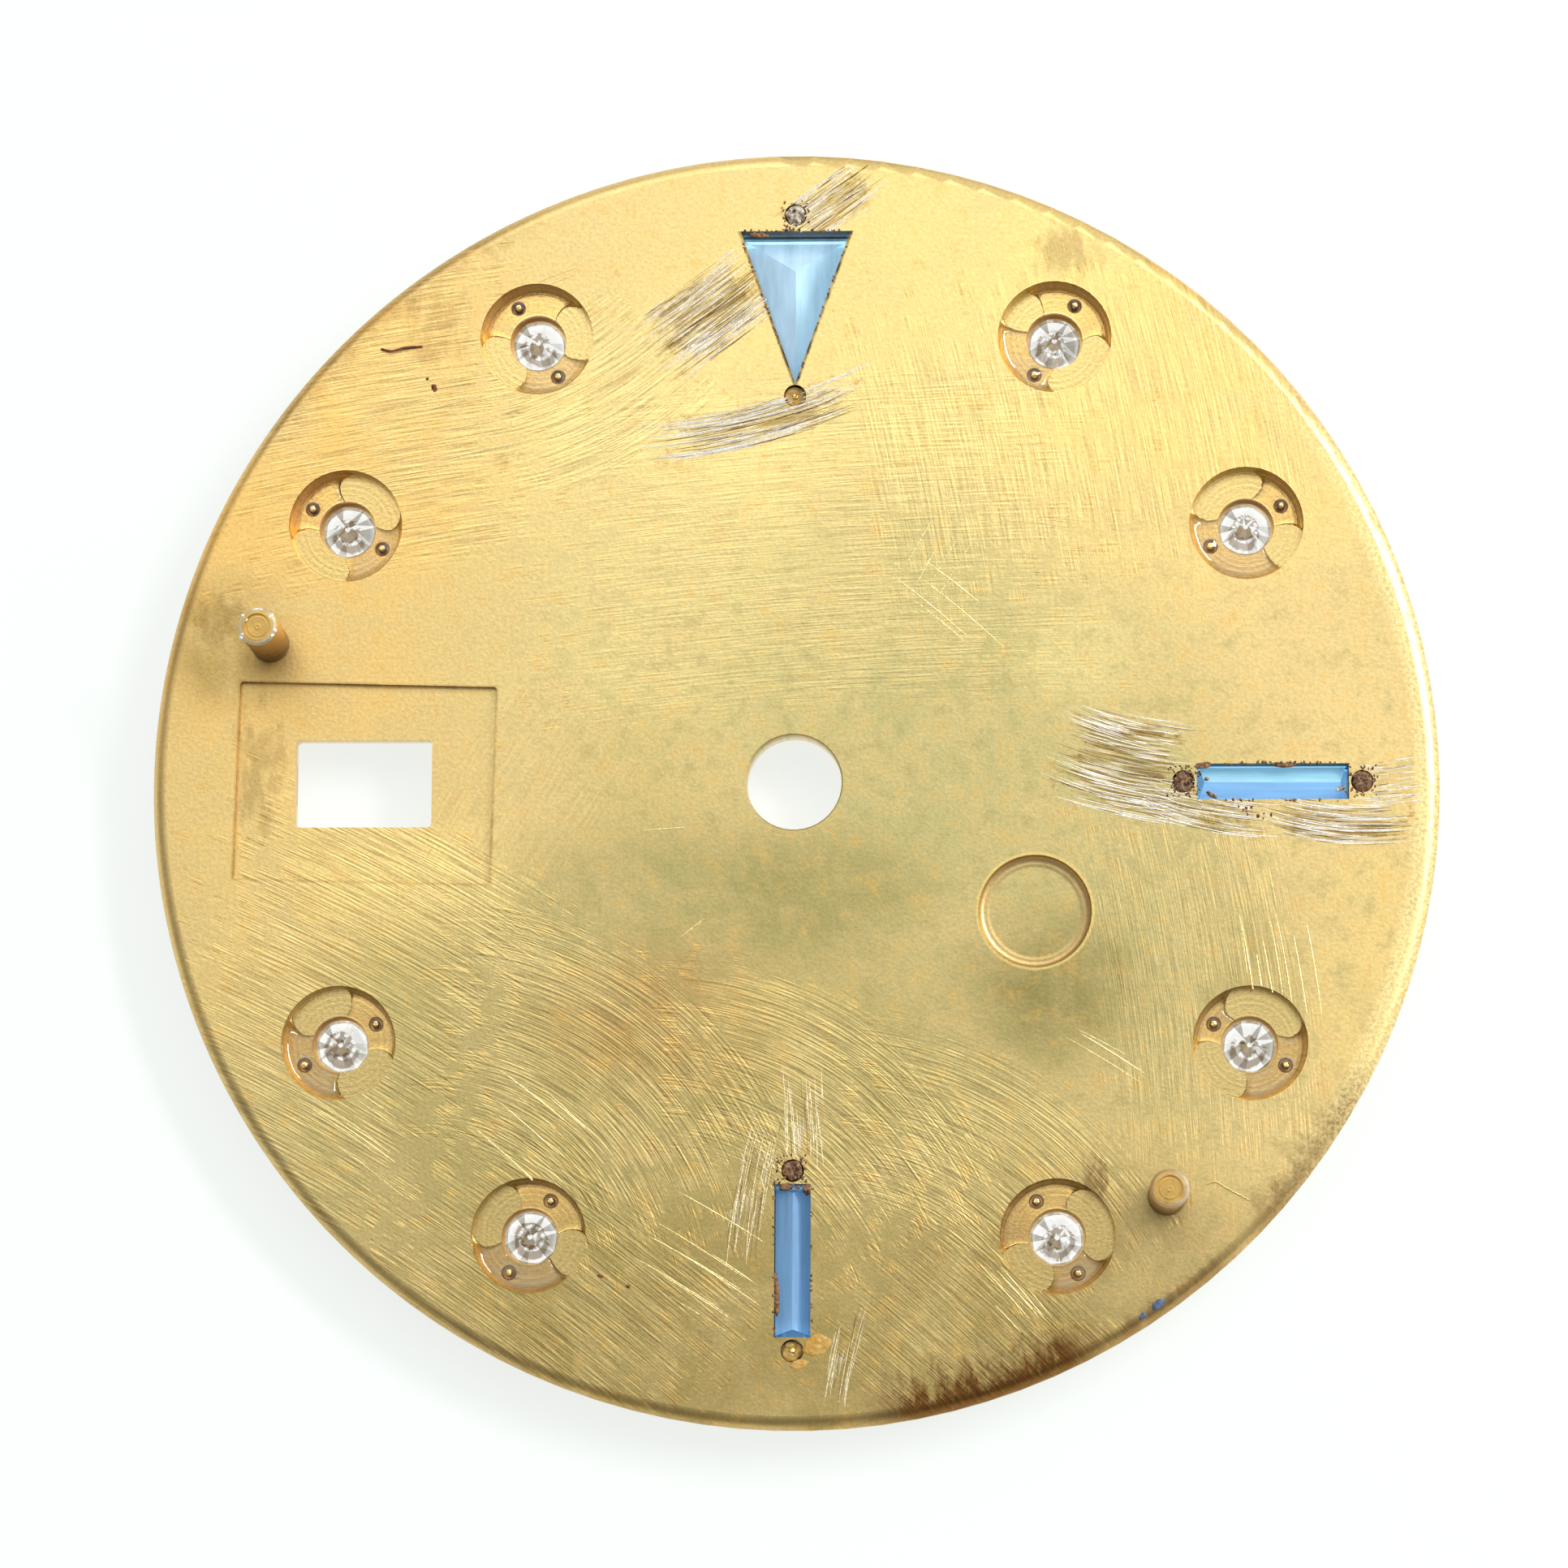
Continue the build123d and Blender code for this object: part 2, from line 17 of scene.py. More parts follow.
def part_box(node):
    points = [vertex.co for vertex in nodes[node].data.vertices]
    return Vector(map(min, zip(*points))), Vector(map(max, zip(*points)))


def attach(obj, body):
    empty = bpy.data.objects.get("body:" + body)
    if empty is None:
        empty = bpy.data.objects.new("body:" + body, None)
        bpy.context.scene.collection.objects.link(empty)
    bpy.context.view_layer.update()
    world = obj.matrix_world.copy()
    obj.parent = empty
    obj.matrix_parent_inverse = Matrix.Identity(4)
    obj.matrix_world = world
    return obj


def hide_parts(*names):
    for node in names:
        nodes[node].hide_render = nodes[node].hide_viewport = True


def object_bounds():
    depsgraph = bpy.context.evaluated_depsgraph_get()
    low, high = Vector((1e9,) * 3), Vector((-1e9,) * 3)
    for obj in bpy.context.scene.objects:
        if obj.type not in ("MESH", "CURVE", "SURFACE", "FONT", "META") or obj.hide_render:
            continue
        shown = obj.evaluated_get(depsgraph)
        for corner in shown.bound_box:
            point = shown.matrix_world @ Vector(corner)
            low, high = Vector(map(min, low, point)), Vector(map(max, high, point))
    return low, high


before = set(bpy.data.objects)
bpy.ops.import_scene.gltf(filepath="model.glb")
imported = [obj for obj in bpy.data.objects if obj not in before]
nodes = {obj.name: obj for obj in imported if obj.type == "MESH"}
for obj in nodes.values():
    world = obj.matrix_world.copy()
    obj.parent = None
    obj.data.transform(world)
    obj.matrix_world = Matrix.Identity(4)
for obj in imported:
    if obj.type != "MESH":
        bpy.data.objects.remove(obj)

cad_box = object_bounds()
scene = bpy.context.scene
print("solids:", len(nodes), "box in mm:", [[round(v * 1000, 2) for v in c] for c in cad_box])

# %% [markdown]
# Everything here is in metres, but a dial is easier to think of in millimetres. One value turns
# millimetres into metres. Places on the back are given with the hand hole at the centre, +X to
# the right as the camera sees it, +Y to the stone at 12 and +Z out of the back.

# %% Sizes of the dial that the looks depend on, in mm
MM = 0.001
DIAL_R, PLATE_T = 13.15, 0.75
POCKET_CIRCLE_R, POCKET_R, POCKET_DEPTH = 10.68, 1.17, 0.42
STONE_HOLE_R = 0.585                    # hole in a pocket's floor
PIN_OUT, PIN_TOP = 0.84, -0.28          # pins from the pocket's axis, and their ends
FEET, FOOT_TOP = ((-10.76, 2.88), (7.545, -8.439)), 2.2
WINDOWS = ((0.0, 10.1), (0.0, -9.75), (9.75, 0.0))          # middles at 12, 6 and 9
WEDGE_TIP, WEDGE_LEAN = 8.3, 0.3547     # sides of the window at 12: |x| = (y - tip) * lean
SEAT_MIDDLE, SEAT_HALF, SEAT_TURN = (-8.78, 0.0), (2.64, 2.04), 1.4     # round the date window
RECESS_MIDDLE = (4.91, -2.651, 0.0)     # the blind round recess
FLOOR_Z = cad_box[0].z / MM
print("the dial rests at", round(FLOOR_Z, 3), "mm")

# %% [markdown]
# ## Helpers for node trees
# A material, a world or a Geometry Nodes tree is a set of nodes with links. One helper adds a
# node of any kind to the tree in hand: it sets the node's settings, and each input either gets a
# value or is linked to another node. The others turn the usual hex colours into the linear
# numbers that Blender uses, take up the tree of a new material, and give the place on the dial
# in millimetres, which every pattern starts from.

# %% Helpers for nodes
def colour(hex_value):
    """Linear colour from an sRGB hex value."""
    channels = [int(hex_value[i:i + 2], 16) / 255 for i in (1, 3, 5)]
    return (*(c / 12.92 if c <= 0.04045 else ((c + 0.055) / 1.055) ** 2.4 for c in channels), 1.0)


def add(kind, *inputs, **settings):
    """Add a node to the tree in hand. "Math ADD" is a Math node that is set to add.

    Inputs come in a row from the first socket on, or as one dict by name or number. An input is
    a value, a hex colour, a node, a socket, or a pair of a node and the name of its output.
    """
    kind, _, operation = kind.partition(" ")
    node = tree.nodes.new(kind if "Node" in kind else "ShaderNode" + kind)
    if operation:
        node.operation = operation
    for name, value in settings.items():
        setattr(node, name, value)
    named = inputs and isinstance(inputs[0], dict)
    for key, value in inputs[0].items() if named else enumerate(inputs):
        if isinstance(value, str) and value.startswith("#"):
            value = colour(value)
        if isinstance(value, tuple) and isinstance(value[0], bpy.types.Node):
            value = value[0].outputs[value[1]]
        elif isinstance(value, bpy.types.Node):
            value = next(output for output in value.outputs if output.enabled)
        if isinstance(value, bpy.types.NodeSocket):
            tree.links.new(value, node.inputs[key])
        else:
            node.inputs[key].default_value = value
    return node


print("brass in linear numbers:", [round(c, 3) for c in colour("#E7C577")])


# %% Helpers for finishes
def take_up(owner):
    """Empty the tree of a material or a world. It is the tree in hand from here on."""
    global tree
    owner.use_nodes = True
    tree = owner.node_tree
    tree.nodes.clear()
    return owner


def place_in_mm():
    """The place on the dial in mm, from Object coordinates."""
    return add("VectorMath SCALE", {0: (add("TexCoord"), "Object"), "Scale": 1 / MM})


def place_parts():
    """The place in mm, the same brought down to z = 0, and its X, Y and Z."""
    place = place_in_mm()
    return place, add("VectorMath MULTIPLY", place, (1, 1, 0)), *add("SeparateXYZ", place).outputs


print("places are multiplied by", 1 / MM)

# %% [markdown]
# ## Camera
# The photograph was taken with a long lens, almost straight down: the camera stands 118 mm above
# the dial and 17 mm towards 6 o'clock. Its place and turn were found by fitting the dial's round
# edge, the eight pockets and the tops of the feet. They are written as a place and a rotation.

# %% Camera
camera_data = bpy.data.cameras.new("camera")
camera_data.sensor_width = 36.0
camera_data.lens = 134.46
camera_data.clip_start, camera_data.clip_end = 0.005, 5.0
camera = bpy.data.objects.new("camera", camera_data)
turn = Matrix((
    (0.99932258, 0.00172815, 0.03676137),
    (0.00341513, 0.99023199, -0.13938777),
    (-0.03664317, 0.13941889, 0.98955528),
))
camera.matrix_world = Matrix.Translation(Vector((4.19, -16.69, 118.20)) * MM) @ turn.to_4x4()
scene.collection.objects.link(camera)
scene.camera = camera
scene.view_settings.view_transform = "Standard"
print("camera looks along", [round(v, 3) for v in -turn.col[2]])

# %% [markdown]
# ## Light
# A metal shows what it mirrors, so the light is mostly a soft white tent. It is brightest over
# the 12 o'clock side and falls off towards 6 o'clock, which is why the walls that face 6 look
# dark, with a paler ring just over the table. One wide lamp over the 12 o'clock side adds the
# soft shine, and one narrow lamp at the right puts the white glints on the cement and the
# stones. The sheet under the dial glows a little, as a light table does, so the dial has hardly
# any shadow. Seen from below the sheet is clear, so that the face can be looked at.

# %% Tent
scene.world = take_up(bpy.data.worlds.new("tent"))
ray = add("TexCoord")
bright_way = Vector((0.12, 0.62, 0.78)).normalized()
facing = add("VectorMath DOT_PRODUCT", (ray, "Generated"), bright_way)
level = add("ValToRGB", facing)
stops = level.color_ramp.elements
stops[0].position, stops[0].color = 0.0, (0.28, 0.28, 0.28, 1)
stops[1].position, stops[1].color = 0.95, (1.50, 1.50, 1.50, 1)
middle = stops.new(0.73)
middle.color = (0.40, 0.40, 0.40, 1)
side_way = Vector((0.93, 0.05, 0.36)).normalized()
to_side = add("VectorMath DOT_PRODUCT", (ray, "Generated"), side_way)
side_level = add("MapRange", to_side, 0.66, 0.98, 0.0, 0.7, interpolation_type="SMOOTHSTEP")
low_level = add(
    "MapRange", (add("SeparateXYZ", (ray, "Generated")), "Z"), 0.42, 0.02, 0.0, 0.42,
    interpolation_type="SMOOTHSTEP",
)
side_and_low = add("Math ADD", side_level, low_level)
both_levels = add("VectorMath ADD", level, side_and_low)
glow = add("Background", {"Color": both_levels, "Strength": 0.94})
add("OutputWorld", {"Surface": glow})
print("the tent is brightest towards", [round(v, 2) for v in bright_way])

# %% Lamps
# name: place, width and depth in m, power in W, colour
LAMPS = {
    "lamp": ((-0.02, 0.17, 0.26), 0.30, 0.16, 0.11, (1.0, 0.985, 0.96)),
    "strip lamp": ((0.24, 0.14, 0.22), 0.20, 0.045, 0.88, (1.0, 1.0, 1.0)),
}
for name, (at, width, depth, power, tint) in LAMPS.items():
    light = bpy.data.lights.new(name, "AREA")
    light.shape = "RECTANGLE"
    light.size, light.size_y, light.energy, light.color = width, depth, power, tint
    lamp = bpy.data.objects.new(name, light)
    lamp.location = at
    lamp.rotation_euler = (-lamp.location).to_track_quat("-Z", "Y").to_euler()
    scene.collection.objects.link(lamp)
print("lamps:", len(LAMPS))

# %% Sheet under the dial
SHEET_HALF, SHEET_GAP = 0.6, 2e-6       # in m; the dial's lowest points stay just clear of it
corners = ((-1, -1), (1, -1), (1, 1), (-1, 1))
sheet_mesh = bpy.data.meshes.new("sheet")
sheet_mesh.from_pydata(
    [(x * SHEET_HALF, y * SHEET_HALF, FLOOR_Z * MM - SHEET_GAP) for x, y in corners],
    [], [(0, 1, 2, 3)],
)
sheet = bpy.data.objects.new("sheet", sheet_mesh)
scene.collection.objects.link(sheet)
sheet_finish = take_up(bpy.data.materials.new("pale acrylic sheet"))
skin = add("BsdfPrincipled", {
    "Base Color": "#7A7D7B", "Roughness": 0.6, "Specular IOR Level": 0.2,
    "Emission Color": "#F6FAF8", "Emission Strength": 0.82,
})
side = add("NewGeometry")
clear = add("BsdfTransparent")
seen = add("MixShader", (side, "Backfacing"), skin, clear)
add("OutputMaterial", {"Surface": seen})
sheet_mesh.materials.append(sheet_finish)
print("sheet at z", round(FLOOR_Z, 3), "mm")

# %% [markdown]
# ## Zones that follow an arc
# A hand that rubs or scrapes metal swings about the wrist or the elbow, so its marks are short
# arcs. A zone of such marks is told by its middle, its slope there, the radius of the arc (plus
# for a hump, minus for a bowl), and its half length and half width. One helper turns places on
# the back into "along" and "across" of such an arc, and draws lines with a stretched noise.

# %% Arc zones in nodes
def arc_frame(flat, middle, slope, radius):
    """Distance along and across an arc through a middle, in mm, as two nodes."""
    turn = math.radians(slope)
    tangent, upward = (math.cos(turn), math.sin(turn), 0), (-math.sin(turn), math.cos(turn), 0)
    centre = (middle[0] - radius * upward[0], middle[1] - radius * upward[1], 0)
    away = tuple(math.copysign(1, radius) * v for v in upward)
    arm = add("VectorMath SUBTRACT", flat, centre)
    reach = add("VectorMath LENGTH", arm)
    up = add("VectorMath DOT_PRODUCT", arm, away)
    sideways = add("VectorMath DOT_PRODUCT", arm, tangent)
    angle = add("Math ARCTAN2", sideways, up)
    along = add("Math MULTIPLY", angle, abs(radius))
    across = add("Math SUBTRACT", reach, abs(radius))
    return along, across


def arc_lines(along, across, stretch, spacing):
    """Noise stretched along the arc, about -0.5 to 0.5."""
    strip = add(
        "CombineXYZ", add("Math MULTIPLY", along, 1 / stretch),
        add("Math MULTIPLY", across, 1 / spacing),
    )
    lines = add("TexNoise", {
        "Vector": strip, "Scale": 1.0, "Detail": 2.0, "Roughness": 0.6,
    }, noise_dimensions="2D")
    return add("Math SUBTRACT", lines, 0.5)


def arc_mask(along, across, half_length, half_width, fray, soft):
    """One inside the zone and nothing outside it; fray is a node that makes its ends ragged."""
    far = add("Math ABSOLUTE", along)
    frayed = add("Math MULTIPLY_ADD", fray, half_length * 0.9, far)
    ends = add("MapRange", frayed, half_length * 1.5, half_length * 1.1)
    wide = add("Math ABSOLUTE", across)
    widened = add("Math MULTIPLY_ADD", fray, soft, wide)
    sides = add("MapRange", widened, half_width + soft, half_width)
    return add("Math MULTIPLY", ends, sides)


print("arc helpers ready")

# %% [markdown]
# ## Hand-rubbed brass
# The plate is brass or low gold that was gilt once, and its back was cleaned by hand with
# abrasive paper. The zones below were read from the photograph one by one. Each has a middle, a
# slope, an arc radius, a half length, a half width, a line spacing and a strength. The real
# lines are about 0.02 mm apart, and they are drawn two to three times coarser so that they show.

# %% Zones of the back, in mm
RUB_ZONES = (
    ((-8.9, 7.6), 10.0, 90.0, 3.2, 3.2, 0.050, 0.75),
    ((-4.3, 8.1), 27.0, -7.2, 2.2, 1.6, 0.050, 0.90),
    ((5.8, 7.4), -78.0, 60.0, 3.4, 4.4, 0.050, 0.60),
    ((8.3, -4.2), -82.0, 40.0, 3.8, 2.0, 0.042, 0.65),
    ((-9.6, -5.4), -28.0, 40.0, 3.2, 5.0, 0.046, 0.90),
    ((-3.9, -6.2), -39.0, 5.9, 3.6, 2.5, 0.046, 1.05),
    ((0.6, -6.6), -35.0, 6.4, 3.4, 1.9, 0.046, 1.00),
    ((4.0, -7.8), -34.0, 6.4, 3.2, 1.9, 0.046, 0.90),
    ((-4.8, -10.2), -36.0, 50.0, 3.8, 2.2, 0.048, 0.90),
    ((3.6, -11.2), -42.0, 40.0, 2.6, 2.2, 0.048, 0.80),
    ((0.4, 5.0), 4.0, 90.0, 5.8, 3.4, 0.045, 0.45),
    ((-5.6, -0.6), 60.0, 60.0, 2.4, 1.6, 0.050, 0.25),
)
print("rubbed zones:", len(RUB_ZONES))

# %% [markdown]
# ## Scraped zones
# Round the stones at 12, 9 and 6 the back was scraped with a hard tool. The scrapes cut
# through the gilding to a silvery metal, with dark grooves between. The same table is used
# twice: here for the scraped ground in the plate's finish, and later for the raised burrs, which
# are real geometry because they catch the light.

# %% Scraped zones, in mm
# name: middle, slope, arc radius, half length, half width, silver burrs, dark grooves
SCRAPES = {
    "scrapes_12_left": ((-1.72, 9.80), 37.0, -40.0, 1.35, 0.80, 100, 110),
    "scrapes_12_right": ((0.72, 12.05), 35.0, -40.0, 1.05, 0.50, 66, 60),
    "scrapes_12_tip": ((-0.75, 7.45), 15.0, -12.0, 2.15, 0.42, 100, 60),
    "scrapes_9_left": ((6.75, 0.35), -13.0, -9.0, 1.30, 1.05, 110, 80),
    "scrapes_9_below": ((8.35, -0.62), -12.0, -9.0, 1.25, 0.40, 50, 46),
    "scrapes_9_lower_right": ((11.1, -0.88), -5.0, -7.5, 1.45, 0.42, 76, 64),
    "scrapes_9_right": ((12.15, -0.08), 6.0, -9.0, 0.62, 0.50, 50, 14),
    "scrapes_6_above": ((0.25, -6.85), 93.0, 60.0, 0.85, 0.42, 30, 8),
    "scrapes_6_left": ((-0.85, -8.35), 80.0, 16.0, 1.35, 0.34, 26, 16),
    "scrapes_6_below": ((1.05, -11.6), 78.0, 14.0, 1.15, 0.26, 18, 6),
}
print("scraped zones:", len(SCRAPES))

# %% [markdown]
# ## Finish of the plate
# One material dresses the whole plate, so that no seam shows: the rubbed back, the turned pocket
# floors, the brown walls and the satin face. It reads places from Object coordinates, times a
# thousand to get millimetres.
#
# - The gold runs from orange at the left to pale yellow at the upper right.
# - Olive tarnish lies in clouds over the middle and the lower half.
# - Brown stains sit at the lower right edge.
#
# A noise's scale is one over the width of its spots: clouds are about 2 mm wide, blotches 0.5 mm
# and the grain of the metal 0.08 mm.

# %% Gold and tarnish, in mm
GOLD = "#E9CF8E"
# middle x, y, reach x, y, share of the new colour, colour
CLOUDS = (
    (-10.5, 6.5, 6.5, 9.0, 0.80, "#F5CC7C"),
    (-10.0, -2.4, 5.0, 4.6, 0.70, "#F6D68A"),
    (4.5, 9.0, 9.5, 6.0, 0.80, "#F6DC90"),
    (-2.6, 7.0, 5.0, 3.6, 0.60, "#F9E29A"),
    (-2.0, 3.2, 7.5, 3.4, 0.60, "#E6D692"),
    (3.4, 0.6, 6.4, 5.4, 0.85, "#C9BE82"),
    (3.4, -4.4, 6.0, 3.6, 0.75, "#C8BB7E"),
    (7.8, -3.4, 2.6, 5.4, 0.45, "#BDB379"),
    (-2.4, -2.4, 4.6, 2.2, 0.75, "#B8AD72"),
    (-7.0, -4.2, 3.4, 2.2, 0.50, "#BDAE72"),
    (-7.6, -7.0, 6.4, 4.6, 0.70, "#C4B577"),
    (-1.0, -7.6, 8.5, 4.6, 0.75, "#BFAC6E"),
    (-2.6, -4.8, 3.0, 1.9, 0.60, "#B9955A"),
    (11.8, -4.6, 2.0, 5.0, 0.55, "#F0D48A"),
    (2.2, 5.1, 3.0, 2.1, 0.55, "#D2C486"),
    (5.8, 2.5, 1.7, 1.4, 0.40, "#F2DF9A"),
    (-3.3, 0.3, 2.0, 1.6, 0.40, "#CDBC78"),
    (-7.7, -1.9, 2.4, 1.3, 0.50, "#FBE094"),
    (0.6, -2.3, 2.8, 1.7, 0.55, "#A4995E"),
    (5.2, -4.2, 2.3, 2.0, 0.70, "#978A53"),
    (-0.5, -4.8, 2.2, 1.2, 0.50, "#DAC47E"),
    (9.4, -4.2, 1.4, 2.2, 0.40, "#B4A268"),
    (8.4, 8.0, 4.6, 4.6, 0.55, "#F5D284"),
    (-2.4, -12.2, 9.0, 4.4, 0.60, "#9C884C"),
    (6.0, -10.8, 5.0, 3.6, 0.65, "#A08A50"),
    (-11.6, 3.0, 1.6, 1.6, 0.65, "#A38A50"),
)
# middle x, y, reach x, y, share: brown stains
STAINS = (
    (6.1, -8.2, 0.45, 1.3, 0.60),
    (5.6, 11.0, 1.3, 1.0, 0.32),
    (-11.9, 3.4, 0.9, 1.0, 0.32),
    (-7.4, 9.6, 1.2, 1.6, 0.22),
    (-11.0, 0.2, 0.9, 2.4, 0.30),
)
print("clouds:", len(CLOUDS), "stains:", len(STAINS))


# %% Clouds of gold and tarnish
def patch(flat, x, y, reach_x, reach_y):
    """A soft patch: one in the middle, nothing at its reach."""
    from_middle = add(
        "VectorMath MULTIPLY_ADD", flat, (1 / reach_x, 1 / reach_y, 0),
        (-x / reach_x, -y / reach_y, 0),
    )
    away = add("VectorMath LENGTH", from_middle)
    return add("MapRange", away, 1.15, 0.25, interpolation_type="SMOOTHSTEP")


plate_finish = take_up(bpy.data.materials.new("hand-rubbed gilt brass"))
place, flat, at_x, at_y, at_z = place_parts()
cloud = add("TexNoise", {
    "Vector": flat, "Scale": 0.45, "Detail": 7.0, "Roughness": 0.68, "Distortion": 0.4,
}, noise_dimensions="2D")
blotch = add("TexNoise", {
    "Vector": flat, "Scale": 2.2, "Detail": 5.0, "Roughness": 0.7,
}, noise_dimensions="2D")
grain = add("TexNoise", {
    "Vector": flat, "Scale": 13.0, "Detail": 2.0, "Roughness": 0.7,
}, noise_dimensions="2D")
fray = add("MapRange", blotch, 0.32, 0.68)
cloudy = add("MapRange", cloud, 0.33, 0.62, 0.45, 1.25)
tone = GOLD
for x, y, reach_x, reach_y, share, hex_value in CLOUDS:
    here = patch(flat, x, y, reach_x, reach_y)
    much = add("Math MULTIPLY", here, share)
    cloudy_much = add("Math MULTIPLY", much, cloudy, use_clamp=True)
    tone = add("MixRGB", cloudy_much, tone, hex_value)
print("nodes with the clouds:", len(tree.nodes))

# %% Blotches, stains and grime
green = add("MapRange", blotch, 0.5, 0.72, 0.0, 0.45)
right_part = add("MapRange", at_x, -7.5, -3.0, 0.2)
lower_part = add("MapRange", at_y, 7.0, 2.5, 0.25)
green_low = add("Math MULTIPLY", green, add("Math MULTIPLY", lower_part, right_part))
tone = add("MixRGB", green_low, tone, "#AFA469")
warm = add("MapRange", blotch, 0.46, 0.3, 0.0, 0.4)
tone = add("MixRGB", warm, tone, "#E9BC68")
stain_noise = add("TexNoise", {
    "Vector": add("VectorMath MULTIPLY", flat, (3.2, 1.3, 0)), "Scale": 1.0, "Detail": 5.0,
    "Roughness": 0.65,
}, noise_dimensions="2D")
for x, y, reach_x, reach_y, share in STAINS:
    here = patch(flat, x, y, reach_x, reach_y)
    both = add("Math MULTIPLY_ADD", here, 0.55, stain_noise)
    much = add("MapRange", both, 0.86, 1.1, 0.0, share)
    tone = add("MixRGB", much, tone, "#6E4A20")
print("nodes with the stains:", len(tree.nodes))

# %% Drips from the edge
# A dirty liquid ran in from the edge: first angle, last angle, reach inwards in mm, share
DRIPS = (
    (-84.0, -60.0, 1.40, 0.95), (-62.0, -46.0, 0.60, 0.50),
    (-46.0, -26.0, 0.90, 0.60), (112.0, 150.0, 0.80, 0.30),
)
angle = add("Math ARCTAN2", at_y, at_x)
out_r = add("VectorMath LENGTH", flat)
drip_place = add(
    "CombineXYZ", add("Math MULTIPLY", angle, DIAL_R), add("Math MULTIPLY", out_r, 0.5),
)
drip_noise = add("TexNoise", {
    "Vector": drip_place, "Scale": 3.4, "Detail": 5.0, "Roughness": 0.75,
}, noise_dimensions="2D")
for first, last, reach, share in DRIPS:
    half_turn = math.radians(last - first) / 2
    off = add("Math SUBTRACT", angle, math.radians(first) + half_turn)
    near = add("MapRange", add("Math ABSOLUTE", off), half_turn, half_turn * 0.6)
    inwards = add("MapRange", out_r, DIAL_R - reach, DIAL_R, -0.3, 0.38)
    wet = add("Math ADD", drip_noise, inwards)
    much = add("MapRange", wet, 0.4, 0.76, 0.0, share)
    dripped = add("Math MULTIPLY", much, near)
    tone = add("MixRGB", dripped, tone, "#6A4420")
rim_tint = add("MapRange", out_r, 12.85, 13.1, 0.0, 0.25)
tone = add("MixRGB", rim_tint, tone, "#C98F3E")
# Painted highlight: a grainy pale band on the rolled rim, only on its right side, where the roll
# faces the light.
rim_band = add("MapRange", out_r, 12.55, 12.75)
right_side = add("MapRange", at_x, 9.5, 12.0)
rim_grain = add("MapRange", grain, 0.35, 0.6, 0.15, 0.9)
rim_painted_highlight = add("Math MULTIPLY", rim_grain, add("Math MULTIPLY", rim_band, right_side))
tone = add("MixRGB", rim_painted_highlight, tone, "#FFE9A8")
print("drips:", len(DRIPS))

# %% Rubbed lines
lines = None
for middle, slope, radius, half_length, half_width, spacing, strength in RUB_ZONES:
    along, across = arc_frame(flat, middle, slope, radius)
    swing = arc_lines(along, across, 1.25, spacing)
    mask = arc_mask(along, across, half_length, half_width, fray, 0.5)
    strong = add("Math MULTIPLY", mask, strength)
    lines = add("Math MULTIPLY_ADD", swing, strong, lines or 0.0)
grainy = add("Math SUBTRACT", grain, 0.5)
on_back = add("MapRange", at_z, -0.17, -0.13)
rubbed = add("Math MULTIPLY", lines, on_back)
relief = add("Math MULTIPLY_ADD", grainy, 0.3, rubbed)
print("line zones in nodes:", len(RUB_ZONES))

# %% Scraped ground
for middle, slope, radius, half_length, half_width, silver, dark in SCRAPES.values():
    along, across = arc_frame(flat, middle, slope, radius)
    swing = arc_lines(along, across, 1.2, 0.045)
    mask = arc_mask(along, across, half_length * 0.82, half_width * 0.8, fray, 0.25)
    brown = add("MapRange", swing, 0.12, -0.12, 0.08, min(0.75, dark / 100))
    brown_here = add("Math MULTIPLY", brown, mask)
    tone = add("MixRGB", brown_here, tone, "#7E6028")
    bright = add("MapRange", swing, 0.07, 0.13, 0.0, 0.35)
    bright_here = add("Math MULTIPLY", bright, mask)
    tone = add("MixRGB", bright_here, tone, "#FFFAEC")
print("nodes so far:", len(tree.nodes))

# %% [markdown]
# The eight pockets lie on one circle at multiples of 30 degrees, so a place can be folded onto
# one pocket: its angle is taken from the nearest multiple. That gives every pocket its turning
# marks and a dark brown ring round its two pins with one set of nodes; the ring is painted shade
# of the deep gap round each pin, with old cement in it.

# %% Pocket floors
steps = add("Math MULTIPLY", angle, 6 / math.pi)
whole = add("Math ROUND", steps)
past = add("Math MULTIPLY_ADD", whole, -math.pi / 6, angle)
outward = add("Math MULTIPLY_ADD", out_r, add("Math COSINE", past), -POCKET_CIRCLE_R)
sideward = add("Math MULTIPLY", out_r, add("Math SINE", past))
folded = add("CombineXYZ", outward, sideward)
from_axis = add("VectorMath LENGTH", folded)
rings = add("TexNoise", {
    "W": from_axis, "Scale": 16.0, "Detail": 2.0, "Roughness": 0.7,
}, noise_dimensions="1D")
low = add("MapRange", at_z, -0.36, -0.4)
ring_swing = add("Math SUBTRACT", rings, 0.5)
ring_low = add("Math MULTIPLY", ring_swing, low)
relief = add("Math MULTIPLY_ADD", ring_low, 0.2, relief)
to_pin = add("VectorMath DISTANCE", add("VectorMath ABSOLUTE", folded), (PIN_OUT, 0, 0))
# Dark brown ring round each pin: painted shade of the deep gap round the pin, with old cement in
# it.
pin_gap_shade_and_grime = add("MapRange", to_pin, 0.165, 0.135, 0.0, 0.92)
pin_ring_on_floor = add("Math MULTIPLY", pin_gap_shade_and_grime, low)
pocket_gold = add("MixRGB", add("Math MULTIPLY", low, 0.6), tone, "#F3D68C")
tone = add("MixRGB", pin_ring_on_floor, pocket_gold, "#4A2E14")
print("pocket floors folded onto one, nodes:", len(tree.nodes))

